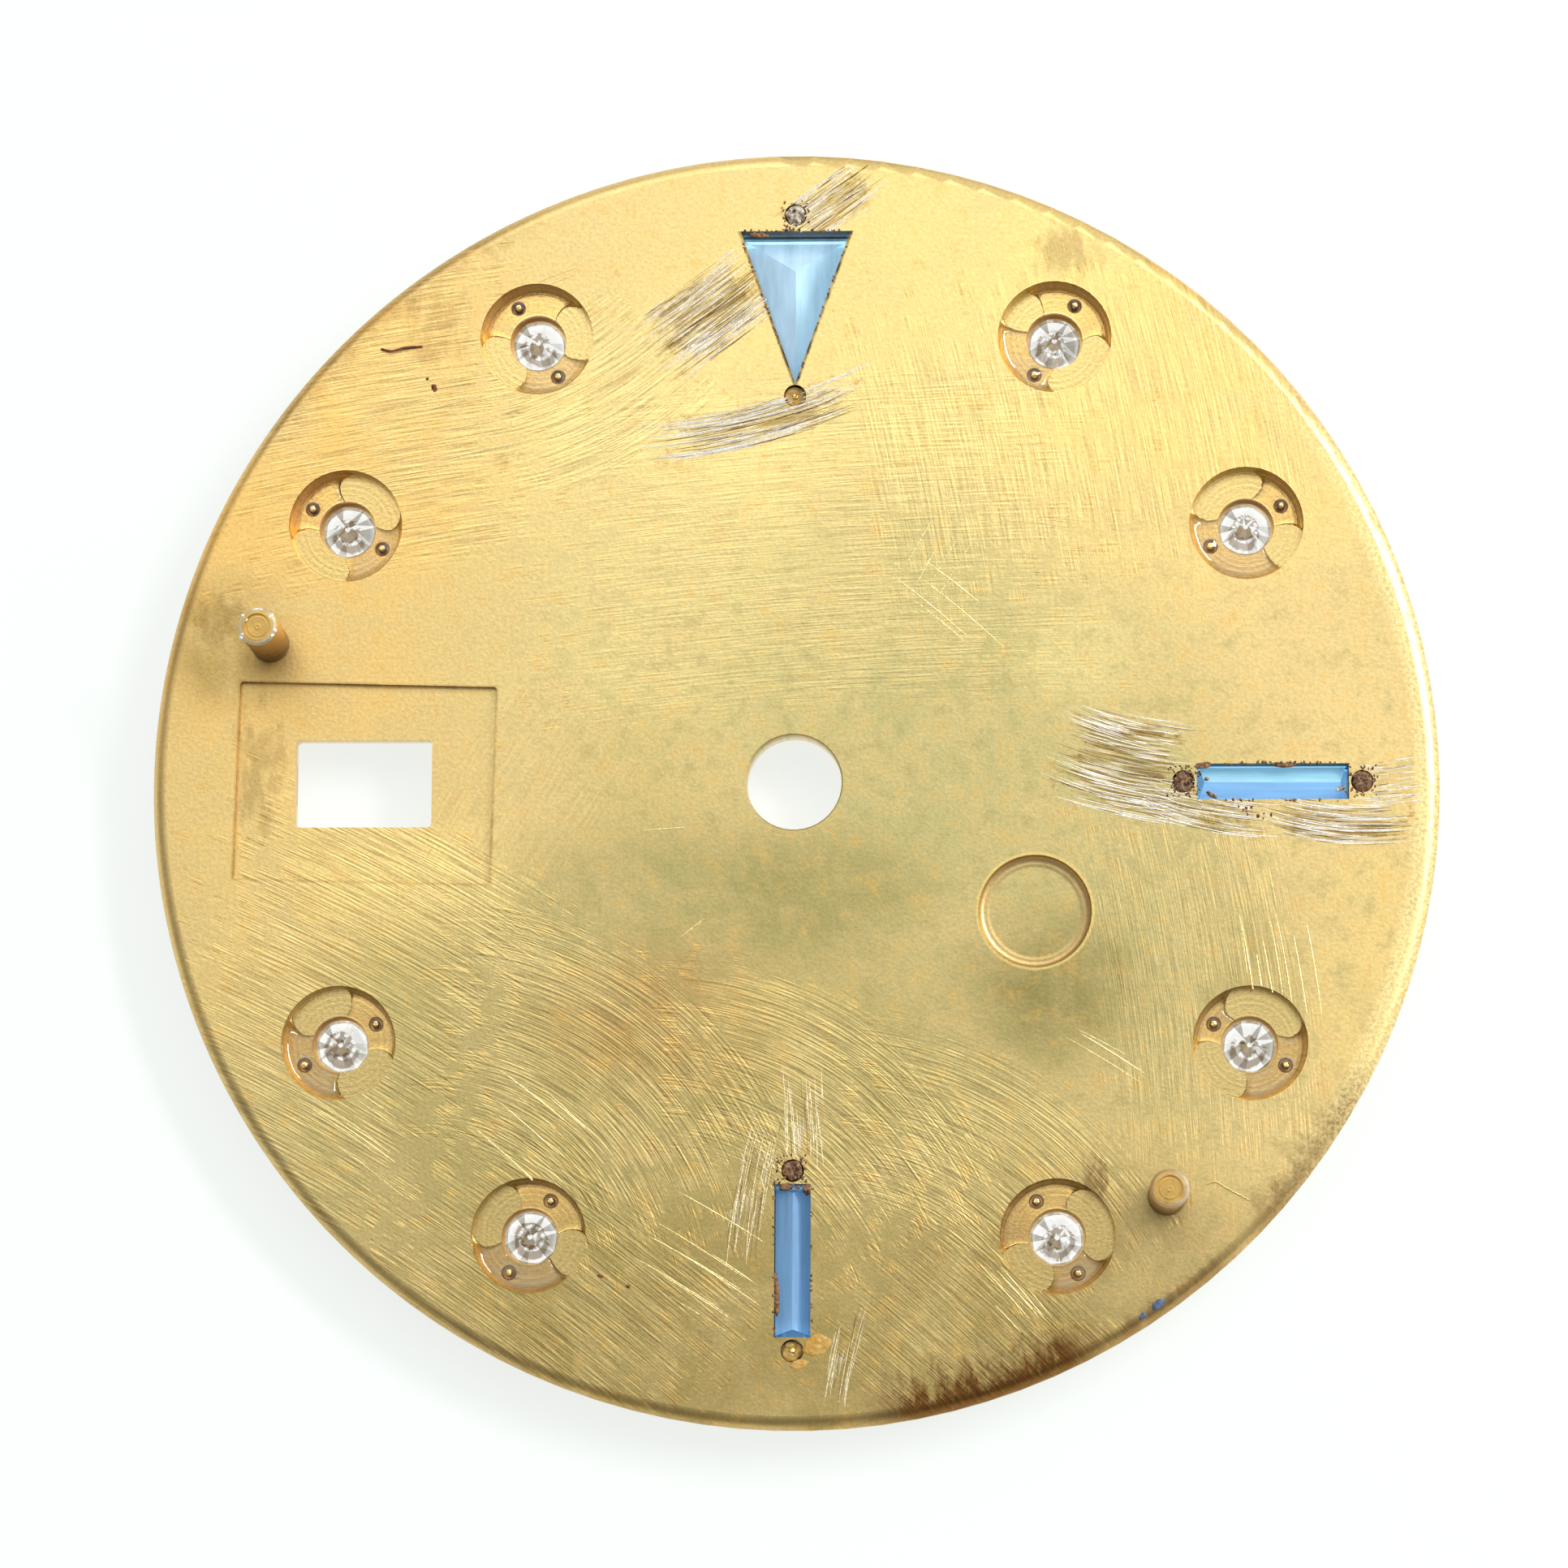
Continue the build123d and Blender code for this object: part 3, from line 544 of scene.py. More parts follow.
# %% Seat of the date window
seat_turn = math.radians(SEAT_TURN)
seat_x = add("VectorMath DOT_PRODUCT", flat, (math.cos(seat_turn), -math.sin(seat_turn), 0))
seat_y = add("VectorMath DOT_PRODUCT", flat, (math.sin(seat_turn), math.cos(seat_turn), 0))
turned_middle = Matrix.Rotation(seat_turn, 2) @ Vector(SEAT_MIDDLE)
past_sides = []
for value, middle, half in zip((seat_x, seat_y), turned_middle, SEAT_HALF):
    off = add("Math ABSOLUTE", add("Math SUBTRACT", value, middle))
    past_sides.append(add("Math SUBTRACT", off, half))
border = add("Math MAXIMUM", *past_sides)
# Darker brown line along the step round the seat, broken into blotches.
border_near = add("MapRange", add("Math ABSOLUTE", border), 0.05, 0.01, 0.0, 0.42)
grimy = add("MapRange", blotch, 0.35, 0.6, 0.35)
seat_border_darkening = add("Math MULTIPLY", border_near, grimy)
tone = add("MixRGB", seat_border_darkening, tone, "#96703A")
print("middle of the turned seat:", [round(v, 3) for v in turned_middle])

# %% Walls of the openings
way = add("NewGeometry")
way_parts = add("SeparateXYZ", (way, "True Normal"))
steep = add("Math ABSOLUTE", (way_parts, "Z"))
inside = add("MapRange", out_r, 12.75, 12.6, 0.15, 0.75)
wall = add("MapRange", steep, 0.55, 0.2)
upper_wall = add("MapRange", at_z, -0.15, -0.05, 0.15)
wall_much = add("Math MULTIPLY", wall, add("Math MULTIPLY", inside, upper_wall))
to_windows = [add("VectorMath DISTANCE", flat, (x, y, 0)) for x, y in WINDOWS]
to_window = add("Math MINIMUM", add("Math MINIMUM", *to_windows[:2]), to_windows[2])
sooty = add("Math LESS_THAN", to_window, 1.95)
wall_brown = add("MixRGB", sooty, "#9C6C34", "#3A2A16")
tone = add("MixRGB", wall_much, tone, wall_brown)
by_hole = add("MapRange", from_axis, 0.64, 0.6, 0.0, 0.85)
hole_wall = add(
    "Math MULTIPLY", add("Math MULTIPLY", by_hole, wall),
    add("Math SUBTRACT", low, sooty, use_clamp=True),
)
tone = add("MixRGB", hole_wall, tone, "#C0743A")
sooty_wall = add("Math MULTIPLY", sooty, wall)
tone = add("MixRGB", sooty_wall, tone, "#33240F")
from_middle = add("Math ABSOLUTE", at_x)
edge_off = add("Math MULTIPLY_ADD", at_y, -WEDGE_LEAN, from_middle)
edge_gap = add("Math ABSOLUTE", add("Math ADD", edge_off, WEDGE_TIP * WEDGE_LEAN))
edge_soot = add("MapRange", edge_gap, 0.08, 0.035, 0.0, 0.95)
edge_here = add("Math MULTIPLY", edge_soot, add("Math MULTIPLY", sooty, grimy))
above_tip = add(
    "Math MULTIPLY", add("Math GREATER_THAN", at_y, 8.2), add("Math LESS_THAN", at_y, 11.5),
)
edge_much = add("Math MULTIPLY", edge_here, above_tip)
tone = add("MixRGB", edge_much, tone, "#3E2A14")
print("windows with dark walls:", len(WINDOWS))

# %% Blind round recess
to_spot = add("VectorMath DISTANCE", flat, RECESS_MIDDLE)
spot_ledge = add("MapRange", to_spot, 0.88, 1.06, 0.0, 0.65)
in_spot = add("Math LESS_THAN", to_spot, 1.15)
ledge = add("Math MULTIPLY", spot_ledge, in_spot)
tone = add("MixRGB", ledge, tone, "#D8B27A")
# Painted highlight: a thin pale gold line round the edge of the recess.
recess_edge_painted_highlight = add(
    "MapRange", add("Math ABSOLUTE", add("Math SUBTRACT", to_spot, 1.18)), 0.045, 0.01, 0.0, 0.7,
)
tone = add("MixRGB", recess_edge_painted_highlight, tone, "#F6D888")
print("nodes with the recess:", len(tree.nodes))

# %% Satin face
front = add("Math LESS_THAN", at_z, 0.01 - PLATE_T)
ray_angle = add("Math MULTIPLY", angle, 60.0)
rays = add("TexNoise", {
    "W": ray_angle, "Scale": 1.6, "Detail": 3.0, "Roughness": 0.7,
}, noise_dimensions="1D")
ray_swing = add("Math SUBTRACT", rays, 0.5)
face_tone = add("MixRGB", rays, "#E2C078", "#F2D894")
tone = add("MixRGB", front, tone, face_tone)
spot_step = add("MapRange", to_spot, 0.92, 0.98, 0.0, 0.8)
height = add("Mix", {0: front, 2: relief, 3: ray_swing})
stepped = add("Math MULTIPLY_ADD", spot_step, in_spot, height)
print("nodes of the plate:", len(tree.nodes))

# %% Shine of the plate
# The relief also lightens and darkens the colour: painted sheen of the rubbed lines, the grain, the
# turning rings and the face's rays, on top of their bump.
painted_line_sheen = add("Math MULTIPLY_ADD", height, 1.2, 1.0)
tone_with_painted_sheen = add("VectorMath MULTIPLY", tone, painted_line_sheen)
bump = add("Bump", {"Height": stepped, "Strength": 1.0, "Distance": 0.01 * MM})
rough = add("MapRange", cloud, 0.35, 0.65, 0.36, 0.46)
floor_rough = add("Mix", {0: low, 2: rough, 3: 0.22})
metal = add("BsdfPrincipled", {
    "Base Color": tone_with_painted_sheen, "Metallic": 1.0, "Roughness": floor_rough, "Normal": bump,
})
add("OutputMaterial", {"Surface": metal})


def dress(names, finish):
    """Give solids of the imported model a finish."""
    for name in names:
        nodes[name].data.materials.clear()
        nodes[name].data.materials.append(finish)
    print(finish.name + ":", len(names), "solids")


dress(["dial_plate"], plate_finish)

# %% [markdown]
# ## Finish of the feet and the settings
# The feet are turned brass rods, brazed into the back. Each has a burr of bright metal round its
# end, a copper-brown dish inside it and brown oxide down the shaft. The settings are gold cups
# that were turned and burnished: from the back only the ends of their pins show.

# %% Turned feet
foot_finish = take_up(bpy.data.materials.new("turned and brazed brass"))
place, flat, at_x, at_y, at_z = place_parts()
to_axes = [add("VectorMath DISTANCE", flat, (x, y, 0)) for x, y in FEET]
from_axis = add("Math MINIMUM", *to_axes)
oxide = add("TexNoise", {"Vector": place, "Scale": 3.5, "Detail": 5.0, "Roughness": 0.7})
depth = add("MapRange", at_z, 1.9, 0.1, 0.05, 0.95)
depth_oxide = add("Math MULTIPLY_ADD", oxide, 0.9, depth)
shaft_much = add("MapRange", depth_oxide, 0.45, 1.25)
shaft = add("MixRGB", shaft_much, "#D2A45C", "#6E4A20")
uneven = add(
    "Math MULTIPLY_ADD", add("TexNoise", {"Vector": place, "Scale": 3.0, "Detail": 2.0}), 0.18,
    from_axis,
)
dish = add("MapRange", uneven, 0.435, 0.385)
top = add("Math GREATER_THAN", at_z, FOOT_TOP - 0.06)
dished = add("Math MULTIPLY", dish, top)
# The bright ring is a burr of bright metal; on foot B it fades from its right side to its left, a
# painted highlight where the ring faces the light.
foot_b_lit_side = add("MapRange", at_x, 7.4, 8.0, 0.35)
left_foot = add("Math LESS_THAN", at_x, 0.0)
ring_much = add("Math MULTIPLY", top, add("Math MAXIMUM", foot_b_lit_side, left_foot))
ring_colour = add("MixRGB", ring_much, shaft, "#CFC2A6")
foot_tone = add("MixRGB", dished, ring_colour, "#D6B064")
speckled = add("MapRange", oxide, 0.3, 0.7, 0.78, 1.15)
foot_spots = add("VectorMath MULTIPLY", foot_tone, speckled)
cut = add("TexNoise", {
    "W": add("Math ADD", from_axis, at_z), "Scale": 14.0, "Detail": 2.0,
}, noise_dimensions="1D")
cut_bump = add("Bump", {"Height": cut, "Strength": 0.8, "Distance": 0.012 * MM})
foot_rough = add("MapRange", oxide, 0.3, 0.7, 0.3, 0.48)
foot_metal = add("BsdfPrincipled", {
    "Base Color": foot_spots, "Metallic": 1.0, "Roughness": foot_rough, "Normal": cut_bump,
})
add("OutputMaterial", {"Surface": foot_metal})
dress(["dial_foot_a", "dial_foot_b"], foot_finish)

# %% Burnished settings
setting_finish = take_up(bpy.data.materials.new("burnished yellow gold"))
place = place_in_mm()
wear = add("TexNoise", {"Vector": place, "Scale": 2.6, "Detail": 4.0, "Roughness": 0.65})
hair = add("TexNoise", {
    "Vector": add("VectorMath MULTIPLY", place, (3, 22, 3)), "Scale": 1.0, "Detail": 3.0,
})
setting_tone = add("MixRGB", wear, "#D9AE5C", "#F3D68E")
setting_rough = add("MapRange", wear, 0.3, 0.7, 0.16, 0.3)
hair_bump = add("Bump", {"Height": hair, "Strength": 0.5, "Distance": 0.003 * MM})
setting_metal = add("BsdfPrincipled", {
    "Base Color": setting_tone, "Metallic": 1.0, "Roughness": setting_rough, "Normal": hair_bump,
})
add("OutputMaterial", {"Surface": setting_metal})
dress([name for name in nodes if name.startswith("setting")], setting_finish)

# %% [markdown]
# ## Stones
# The round stones are brilliants, seen from their points. They are real glass here, so that the
# light of the sheet comes through the facets. A stone that touches its seat exactly would let
# rays slip into the metal, so each stone is replaced by a copy that is one percent smaller, which
# leaves the thin film of air that a real stone has round it.

# %% Copies of the stones with an air film
def piece_of(name, mesh):
    """Object at the origin for a finished mesh. It rides on the dial."""
    piece = bpy.data.objects.new(name, mesh)
    scene.collection.objects.link(piece)
    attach(piece, "root")
    return piece


def piece_from(shape, name, finish, smooth=True):
    """Piece from a bmesh. A smooth one has its faces turned outwards first."""
    if smooth:
        bmesh.ops.recalc_face_normals(shape, faces=shape.faces)
        for face in shape.faces:
            face.smooth = True
    mesh = bpy.data.meshes.new(name)
    shape.to_mesh(mesh)
    shape.free()
    mesh.materials.append(finish)
    return piece_of(name, mesh)


def stone_copy(name, shrink, finish):
    """Merged copy of a stone, shrunk a little about its middle, that stands for the node."""
    low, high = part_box(name)
    middle = (low + high) / 2
    shape = bmesh.new()
    shape.from_mesh(nodes[name].data)
    bmesh.ops.remove_doubles(shape, verts=shape.verts, dist=1e-7)
    for vertex in shape.verts:
        vertex.co = middle + (vertex.co - middle) * shrink
    bmesh.ops.recalc_face_normals(shape, faces=shape.faces)
    bmesh.ops.dissolve_limit(
        shape, angle_limit=math.radians(0.5), verts=shape.verts, edges=shape.edges,
    )
    stone = piece_from(shape, name + "_cut", finish, smooth=False)
    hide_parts(name)
    return stone


print("stones to copy:", len([name for name in nodes if name.startswith("stone")]))

# %% Clear round stones
clear_stone = take_up(bpy.data.materials.new("cut and polished diamond"))
way = add("NewGeometry")
# Each facet gets a random shade from grey to white: painted light and shade of the facets.
painted_facet_light = add("TexWhiteNoise", {
    "Vector": add("VectorMath SNAP", (way, "True Normal"), (0.02, 0.02, 0.02)),
})
facet_bright = add("MapRange", painted_facet_light, 0.15, 0.45)
painted_facet_tone = add("MixRGB", facet_bright, "#8E8A7C", "#FFFFFF")
place, flat, at_x, at_y, at_z = place_parts()
near_turn = add(
    "Math SNAP", add("Math ADD", add("Math ARCTAN2", at_y, at_x), math.pi / 12), math.pi / 6,
)
stone_axis = add(
    "CombineXYZ", add("Math MULTIPLY", add("Math COSINE", near_turn), POCKET_CIRCLE_R),
    add("Math MULTIPLY", add("Math SINE", near_turn), POCKET_CIRCLE_R),
)
from_stone = add("VectorMath SUBTRACT", flat, stone_axis)
shard_noise = add("TexNoise", {"Vector": place, "Scale": 4.5, "Detail": 2.0})
to_shard = add("VectorMath DISTANCE", from_stone, (-0.02, -0.1, 0))
shard_reach = add("Math MULTIPLY_ADD", shard_noise, -0.35, to_shard)
shard = add("MapRange", shard_reach, 0.01, -0.03, 0.0, 0.95)
from_point = add("VectorMath LENGTH", from_stone)
frost = add("MapRange", from_point, 0.42, 0.54, 0.0, 0.35)
frosted = add("MixRGB", frost, painted_facet_tone, "#FFFFFF")
sharded = add("MixRGB", shard, frosted, "#5A4420")
# White dot at the point of the stone: a painted highlight.
point = add("MapRange", from_point, 0.06, 0.04)
stone_tone = add("MixRGB", point, sharded, "#FFFFFF")
dust = add("TexNoise", {"Vector": place, "Scale": 6.0, "Detail": 4.0})
stone_rough = add("MapRange", dust, 0.45, 0.75, 0.0, 0.12)
# The stone also glows a little in its own colours: a painted glow.
stone_glass = add("BsdfPrincipled", {
    "Base Color": stone_tone, "Roughness": stone_rough, "Transmission Weight": 1.0, "IOR": 2.0,
    "Emission Color": stone_tone, "Emission Strength": 0.1,
})
add("OutputMaterial", {"Surface": stone_glass})
ROUND_HOURS = ("01", "02", "04", "05", "07", "08", "10", "11")
for hour in ROUND_HOURS:
    stone_copy("stone_" + hour, 0.99, clear_stone)
print("clear stones:", len(ROUND_HOURS))

# %% [markdown]
# The stones at 12, 6 and 9 are pale blue step cuts. Their facets meet in a keel, and each side
# of the keel is painted its own shade, lighter or darker as that side is lit, so a facet's colour
# is chosen by the way it faces. They have fine growth lines and a worn, slightly cloudy skin, so
# they aren't quite as clear as glass.

# %% Shades and bands of the blue stones
# hour: the way that the second shade faces, first shade, second shade (the two sides of the keel
# painted lighter and darker as they are lit), direction of the streaks, a painted glow that stands
# in for the light of the sheet coming up through the stone, in the first shade and in the second,
# and painted bands of highlight and shade across it, as pairs of a Y in mm and a share of light
MOST_LIGHT = 4.0        # a ramp holds shares from 0 to 1, so they are divided by this and restored
BLUE_STONES = {
    "12": ((1.0, -0.15, 0.0), "#D4E8F2", "#CCEAF6", (5.0, 0.9, 1.0), "#A0C4E2", "#94C4E2",
           ((10.95, 1.0), (11.08, 1.05), (11.36, 1.2), (11.375, 3.4), (11.42, 3.4), (11.44, 0.2))),
    "06": ((1.0, 0.0, 0.0), "#94BCE0", "#84B0DC", (9.0, 0.5, 1.0), "#4E82A8", "#467AA2",
           ((-11.28, 1.5), (-11.05, 1.15), (-10.9, 1.0), (-8.30, 0.9), (-8.20, 0.5))),
    "09": ((0.0, -1.0, 0.0), "#ACDAE4", "#A4D4F8", (0.5, 9.0, 1.0), "#7CB8D0", "#74B0F4",
           ((0.0, 1.0), (0.31, 1.0), (0.345, 0.35))),
}
print("shades for blue stones:", len(BLUE_STONES))

# %% Raised keels
# hour: how far the keel stands nearer to the back in the photograph, growth in X and in Y, in mm
RAISED = {"06": (0.36, 1.19, 1.02), "09": (0.36, 1.02, 1.19)}
KEEL_FROM = -0.70       # the facets above this height meet in the keel


def raise_keel(stone, rise, grow_x, grow_y):
    """Lift the keel facets on a short straight wall, so that the stone fills its window."""
    shape = bmesh.new()
    shape.from_mesh(stone.data)
    high = [
        face for face in shape.faces if min(vert.co.z for vert in face.verts) > KEEL_FROM * MM
    ]
    made = bmesh.ops.extrude_face_region(shape, geom=high)
    lifted = [part for part in made["geom"] if isinstance(part, bmesh.types.BMVert)]
    bmesh.ops.delete(shape, geom=high, context="FACES")
    middle = sum((vert.co for vert in lifted), Vector()) / len(lifted)
    for vert in lifted:
        vert.co.x = middle.x + (vert.co.x - middle.x) * grow_x
        vert.co.y = middle.y + (vert.co.y - middle.y) * grow_y
        vert.co.z += rise * MM
    bmesh.ops.recalc_face_normals(shape, faces=shape.faces)
    shape.to_mesh(stone.data)
    shape.free()


print("stones with a raised keel:", len(RAISED))

# %% Blue step-cut stones
for hour, stone_values in BLUE_STONES.items():
    second_way, first, second, streak, first_painted_glow, second_painted_glow, bands = stone_values
    finish = take_up(bpy.data.materials.new("step-cut blue stone of " + hour))
    way = add("NewGeometry")
    # Each side of the keel gets its own colour as it would be lit: painted light and shade of the
    # facets.
    facing = add("VectorMath DOT_PRODUCT", (way, "True Normal"), second_way)
    second_painted_shade_share = add("MapRange", facing, -0.12, 0.12)
    place = place_in_mm()
    growth = add("TexNoise", {
        "Vector": add("VectorMath MULTIPLY", place, streak), "Scale": 1.0, "Detail": 3.0,
        "Roughness": 0.6,
    })
    shade = add("MixRGB", second_painted_shade_share, first, second)
    growth_and_painted_bands = add("MapRange", growth, 0.3, 0.7, 0.84, 1.14)
    # Bands across the stone make it lighter or darker by Y: a painted highlight line along an edge
    # and painted shade where its end lies deep in the window.
    first_y, last_y = bands[0][0], bands[-1][0]
    band_place = add("MapRange", (add("SeparateXYZ", place), "Y"), first_y, last_y)
    painted_band_ramp = add("ValToRGB", band_place)
    marks = painted_band_ramp.color_ramp.elements
    for number, (y, share) in enumerate(bands):
        at_mark = (y - first_y) / (last_y - first_y)
        mark = marks.new(at_mark) if number else marks[0]
        mark.position, mark.color = at_mark, (*[share / MOST_LIGHT] * 3, 1)
    growth_times_painted_bands = add("Math MULTIPLY", painted_band_ramp, growth_and_painted_bands)
    growth_and_painted_bands = add("Math MULTIPLY", growth_times_painted_bands, MOST_LIGHT)
    streaked = add("VectorMath MULTIPLY", shade, growth_and_painted_bands)
    # The stone glows in its own colours: a painted glow in place of the light of the sheet that
    # comes up through it.
    painted_glow_shade = add("MixRGB", second_painted_shade_share, first_painted_glow, second_painted_glow)
    painted_glow_streaked = add("VectorMath MULTIPLY", painted_glow_shade, growth_and_painted_bands)
    skin = add("TexNoise", {"Vector": place, "Scale": 5.0, "Detail": 3.0})
    skin_rough = add("MapRange", skin, 0.4, 0.7, 0.04, 0.2)
    skin_bump = add("Bump", {"Height": growth, "Strength": 0.5, "Distance": 0.01 * MM})
    glass = add("BsdfPrincipled", {
        "Base Color": streaked, "Roughness": skin_rough, "Transmission Weight": 0.5, "IOR": 1.76,
        "Normal": skin_bump, "Emission Color": painted_glow_streaked, "Emission Strength": 0.24,
    })
    add("OutputMaterial", {"Surface": glass})
    stone = stone_copy("stone_" + hour, 0.995, finish)
    if hour in RAISED:
        raise_keel(stone, *RAISED[hour])
print("blue stones:", len(BLUE_STONES))

# %% [markdown]
# ## Cement
# Clear cement holds the pins of the round settings. It wets the wall of the pocket and the pins,
# and it left two crescents of the floor dry, where its edge ends in a rounded lip. Each pool here
# is a ring of points in polar order. Its top is a dish that falls to the floor at the edge of a
# dry crescent, and its underside is sunk a hair below the floor: light that goes in then meets
# the brass inside the cement, as it does in a real one.

# %% Finish of the clear cement
pool_finish = take_up(bpy.data.materials.new("clear yellowed cement"))
place = place_in_mm()
age = add("TexNoise", {"Vector": place, "Scale": 1.4, "Detail": 4.0, "Roughness": 0.6})
age_tone = add("MixRGB", age, "#FFF6EA", "#FBE8D4")
ripple = add("TexNoise", {"Vector": place, "Scale": 3.0, "Detail": 2.0})
ripple_bump = add("Bump", {"Height": ripple, "Strength": 0.7, "Distance": 0.014 * MM})
pool_rough = add("MapRange", age, 0.5, 0.75, 0.02, 0.18)
pool_clear = add("BsdfPrincipled", {
    "Base Color": age_tone, "Roughness": pool_rough, "Transmission Weight": 1.0, "IOR": 1.2,
    "Normal": ripple_bump, "Coat Weight": 0.8, "Coat Roughness": 0.03, "Coat IOR": 1.5,
})
add("OutputMaterial", {"Surface": pool_clear})
print("nodes of the clear cement:", len(tree.nodes))

# %% Top of a cement pool
POOL_SINK, DRY_SINK = 0.035, 0.02       # underside, and top of a dry place, below the floor
# hour: middle and half span of the two dry places, as angles about the pocket's axis
POOLS = {
    "01": (15, 40, 210, 40), "02": (50, 50, 225, 48), "04": (120, 42, -50, 45),
    "05": (150, 45, -20, 30), "07": (22, 52, 228, 38), "08": (68, 56, 220, 45),
    "10": (120, 50, -25, 28), "11": (137, 28, -45, 52),
}


def hour_turn(hour):
    """Heading of an hour, in radians from +X. Seen from the back the hours run anticlockwise."""
    return math.radians(90 + int(hour) * 30)


def pool_top(x, y, turn, dry, hour):
    """Height of the cement over the back, at a place from the pocket's axis."""
    radius = math.hypot(x, y)
    share = (radius - STONE_HOLE_R) / (POCKET_R - STONE_HOLE_R)
    dish = -0.37 + 0.08 * share + 0.115 * share ** 6
    dish += 0.012 * noise.noise(Vector((x * 2.3, y * 2.3, hour * 3.7)))
    for pin_x in (-PIN_OUT, PIN_OUT):
        dish += 0.045 * math.exp(-((math.hypot(x - pin_x, y) / 0.13) ** 2))
    ragged = 0.05 * noise.noise(Vector((x * 2.0, y * 2.0, hour * 1.9 + 5)))
    heading = math.degrees(math.atan2(y, x)) + turn
    lip = 1.0
    for middle, half_span in dry:
        off = abs((heading - middle + 180) % 360 - 180)
        away = math.hypot(off / half_span, (radius / POCKET_R - 0.70) / 0.42)
        lip = min(lip, ((away - 1) * 0.45 + ragged) / 0.13)
    if lip <= 0:
        return -POCKET_DEPTH - DRY_SINK
    curve = math.sqrt(1 - (1 - lip) ** 2)
    return -POCKET_DEPTH + (dish + POCKET_DEPTH) * curve


print("pockets with cement:", len(POOLS))


# %% Clear cement pools
def cement_pool(hour):
    """Closed ring of cement in the pocket at an hour."""
    first, first_span, second, second_span = POOLS[hour]
    dry = ((first, first_span), (second, second_span))
    turn = hour_turn(hour)
    rings, steps = 26, 180
    shape = bmesh.new()
    top, bottom = [], []
    for i in range(rings + 1):
        radius = STONE_HOLE_R + (POCKET_R + 0.012 - STONE_HOLE_R) * i / rings
        for k in range(steps):
            angle = 2 * math.pi * k / steps
            x, y = radius * math.cos(angle), radius * math.sin(angle)
            z = pool_top(x, y, math.degrees(turn), dry, int(hour))
            dial_x = (POCKET_CIRCLE_R + x) * math.cos(turn) - y * math.sin(turn)
            dial_y = (POCKET_CIRCLE_R + x) * math.sin(turn) + y * math.cos(turn)
            top.append(shape.verts.new(Vector((dial_x, dial_y, z)) * MM))
            under = Vector((dial_x, dial_y, -POCKET_DEPTH - POOL_SINK))
            bottom.append(shape.verts.new(under * MM))
    for i in range(rings):
        for k in range(steps):
            a, b = i * steps + k, i * steps + (k + 1) % steps
            c, d = b + steps, a + steps
            shape.faces.new((top[a], top[d], top[c], top[b]))
            shape.faces.new((bottom[a], bottom[b], bottom[c], bottom[d]))
    for i in (0, rings):
        for k in range(steps):
            a, b = i * steps + k, i * steps + (k + 1) % steps
            shape.faces.new((top[a], top[b], bottom[b], bottom[a]))
    pool = piece_from(shape, "cement_pool_" + hour, pool_finish)
    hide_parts("cement_" + hour)


for hour in POOLS:
    cement_pool(hour)
print("cement pools:", len(POOLS))

# %% [markdown]
# ## Lumps
# Crusts, specks, a drop of spilled cement and the plugs in the pin wells are all small lumps:
# an irregular disc that rises to a rough dome. One helper makes them. The plugs at 12 and 6 that
# are clear let the gold of the well show, and the others are baked to a dark crust.

# %% Finishes of the lumps
def lump_finish(name, low_hex, high_hex, rough_low, rough_high, **shader):
    """Speckled finish between two colours, at about 0.05 mm."""
    finish = take_up(bpy.data.materials.new(name))
    place = place_in_mm()
    crumb = add("TexNoise", {"Vector": place, "Scale": 9.0, "Detail": 4.0, "Roughness": 0.7})
    share = add("MapRange", crumb, 0.38, 0.66)
    tone = add("MixRGB", share, low_hex, high_hex)
    rough = add("MapRange", crumb, 0.0, 1.0, rough_low, rough_high)
    bump = add("Bump", {"Height": crumb, "Strength": 0.8, "Distance": 0.03 * MM})
    values = {key.replace("_", " "): value for key, value in shader.items()}
    skin = add("BsdfPrincipled", {"Base Color": tone, "Roughness": rough, "Normal": bump, **values})
    add("OutputMaterial", {"Surface": skin})
    return finish


crust = lump_finish("baked cement crust", "#25150A", "#A27446", 0.12, 0.5)
grey_crust = lump_finish("dusty cement crust", "#4A3C2C", "#DCD0BA", 0.35, 0.8)
amber = lump_finish("clear amber cement", "#F2B43E", "#FFE294", 0.05, 0.22,
                    Transmission_Weight=0.50, IOR=1.3, Coat_Weight=0.35)
rust = lump_finish("red-brown fibre and specks", "#4A1E0C", "#8C4A22", 0.5, 0.9)
ink_blue = lump_finish("blue-grey speck", "#3C4C66", "#6F82A0", 0.5, 0.8)
burr = lump_finish("scraped bright metal", "#F4EEE0", "#FFFFFC", 0.30, 0.50, Metallic=0.85)
pin_end = lump_finish("worn pin end", "#F6D27A", "#FFF0BE", 0.12, 0.28, Metallic=1.0)
print("lump finishes made")


# %% Lump helper
LUMP_RINGS, LUMP_STEPS = 9, 36


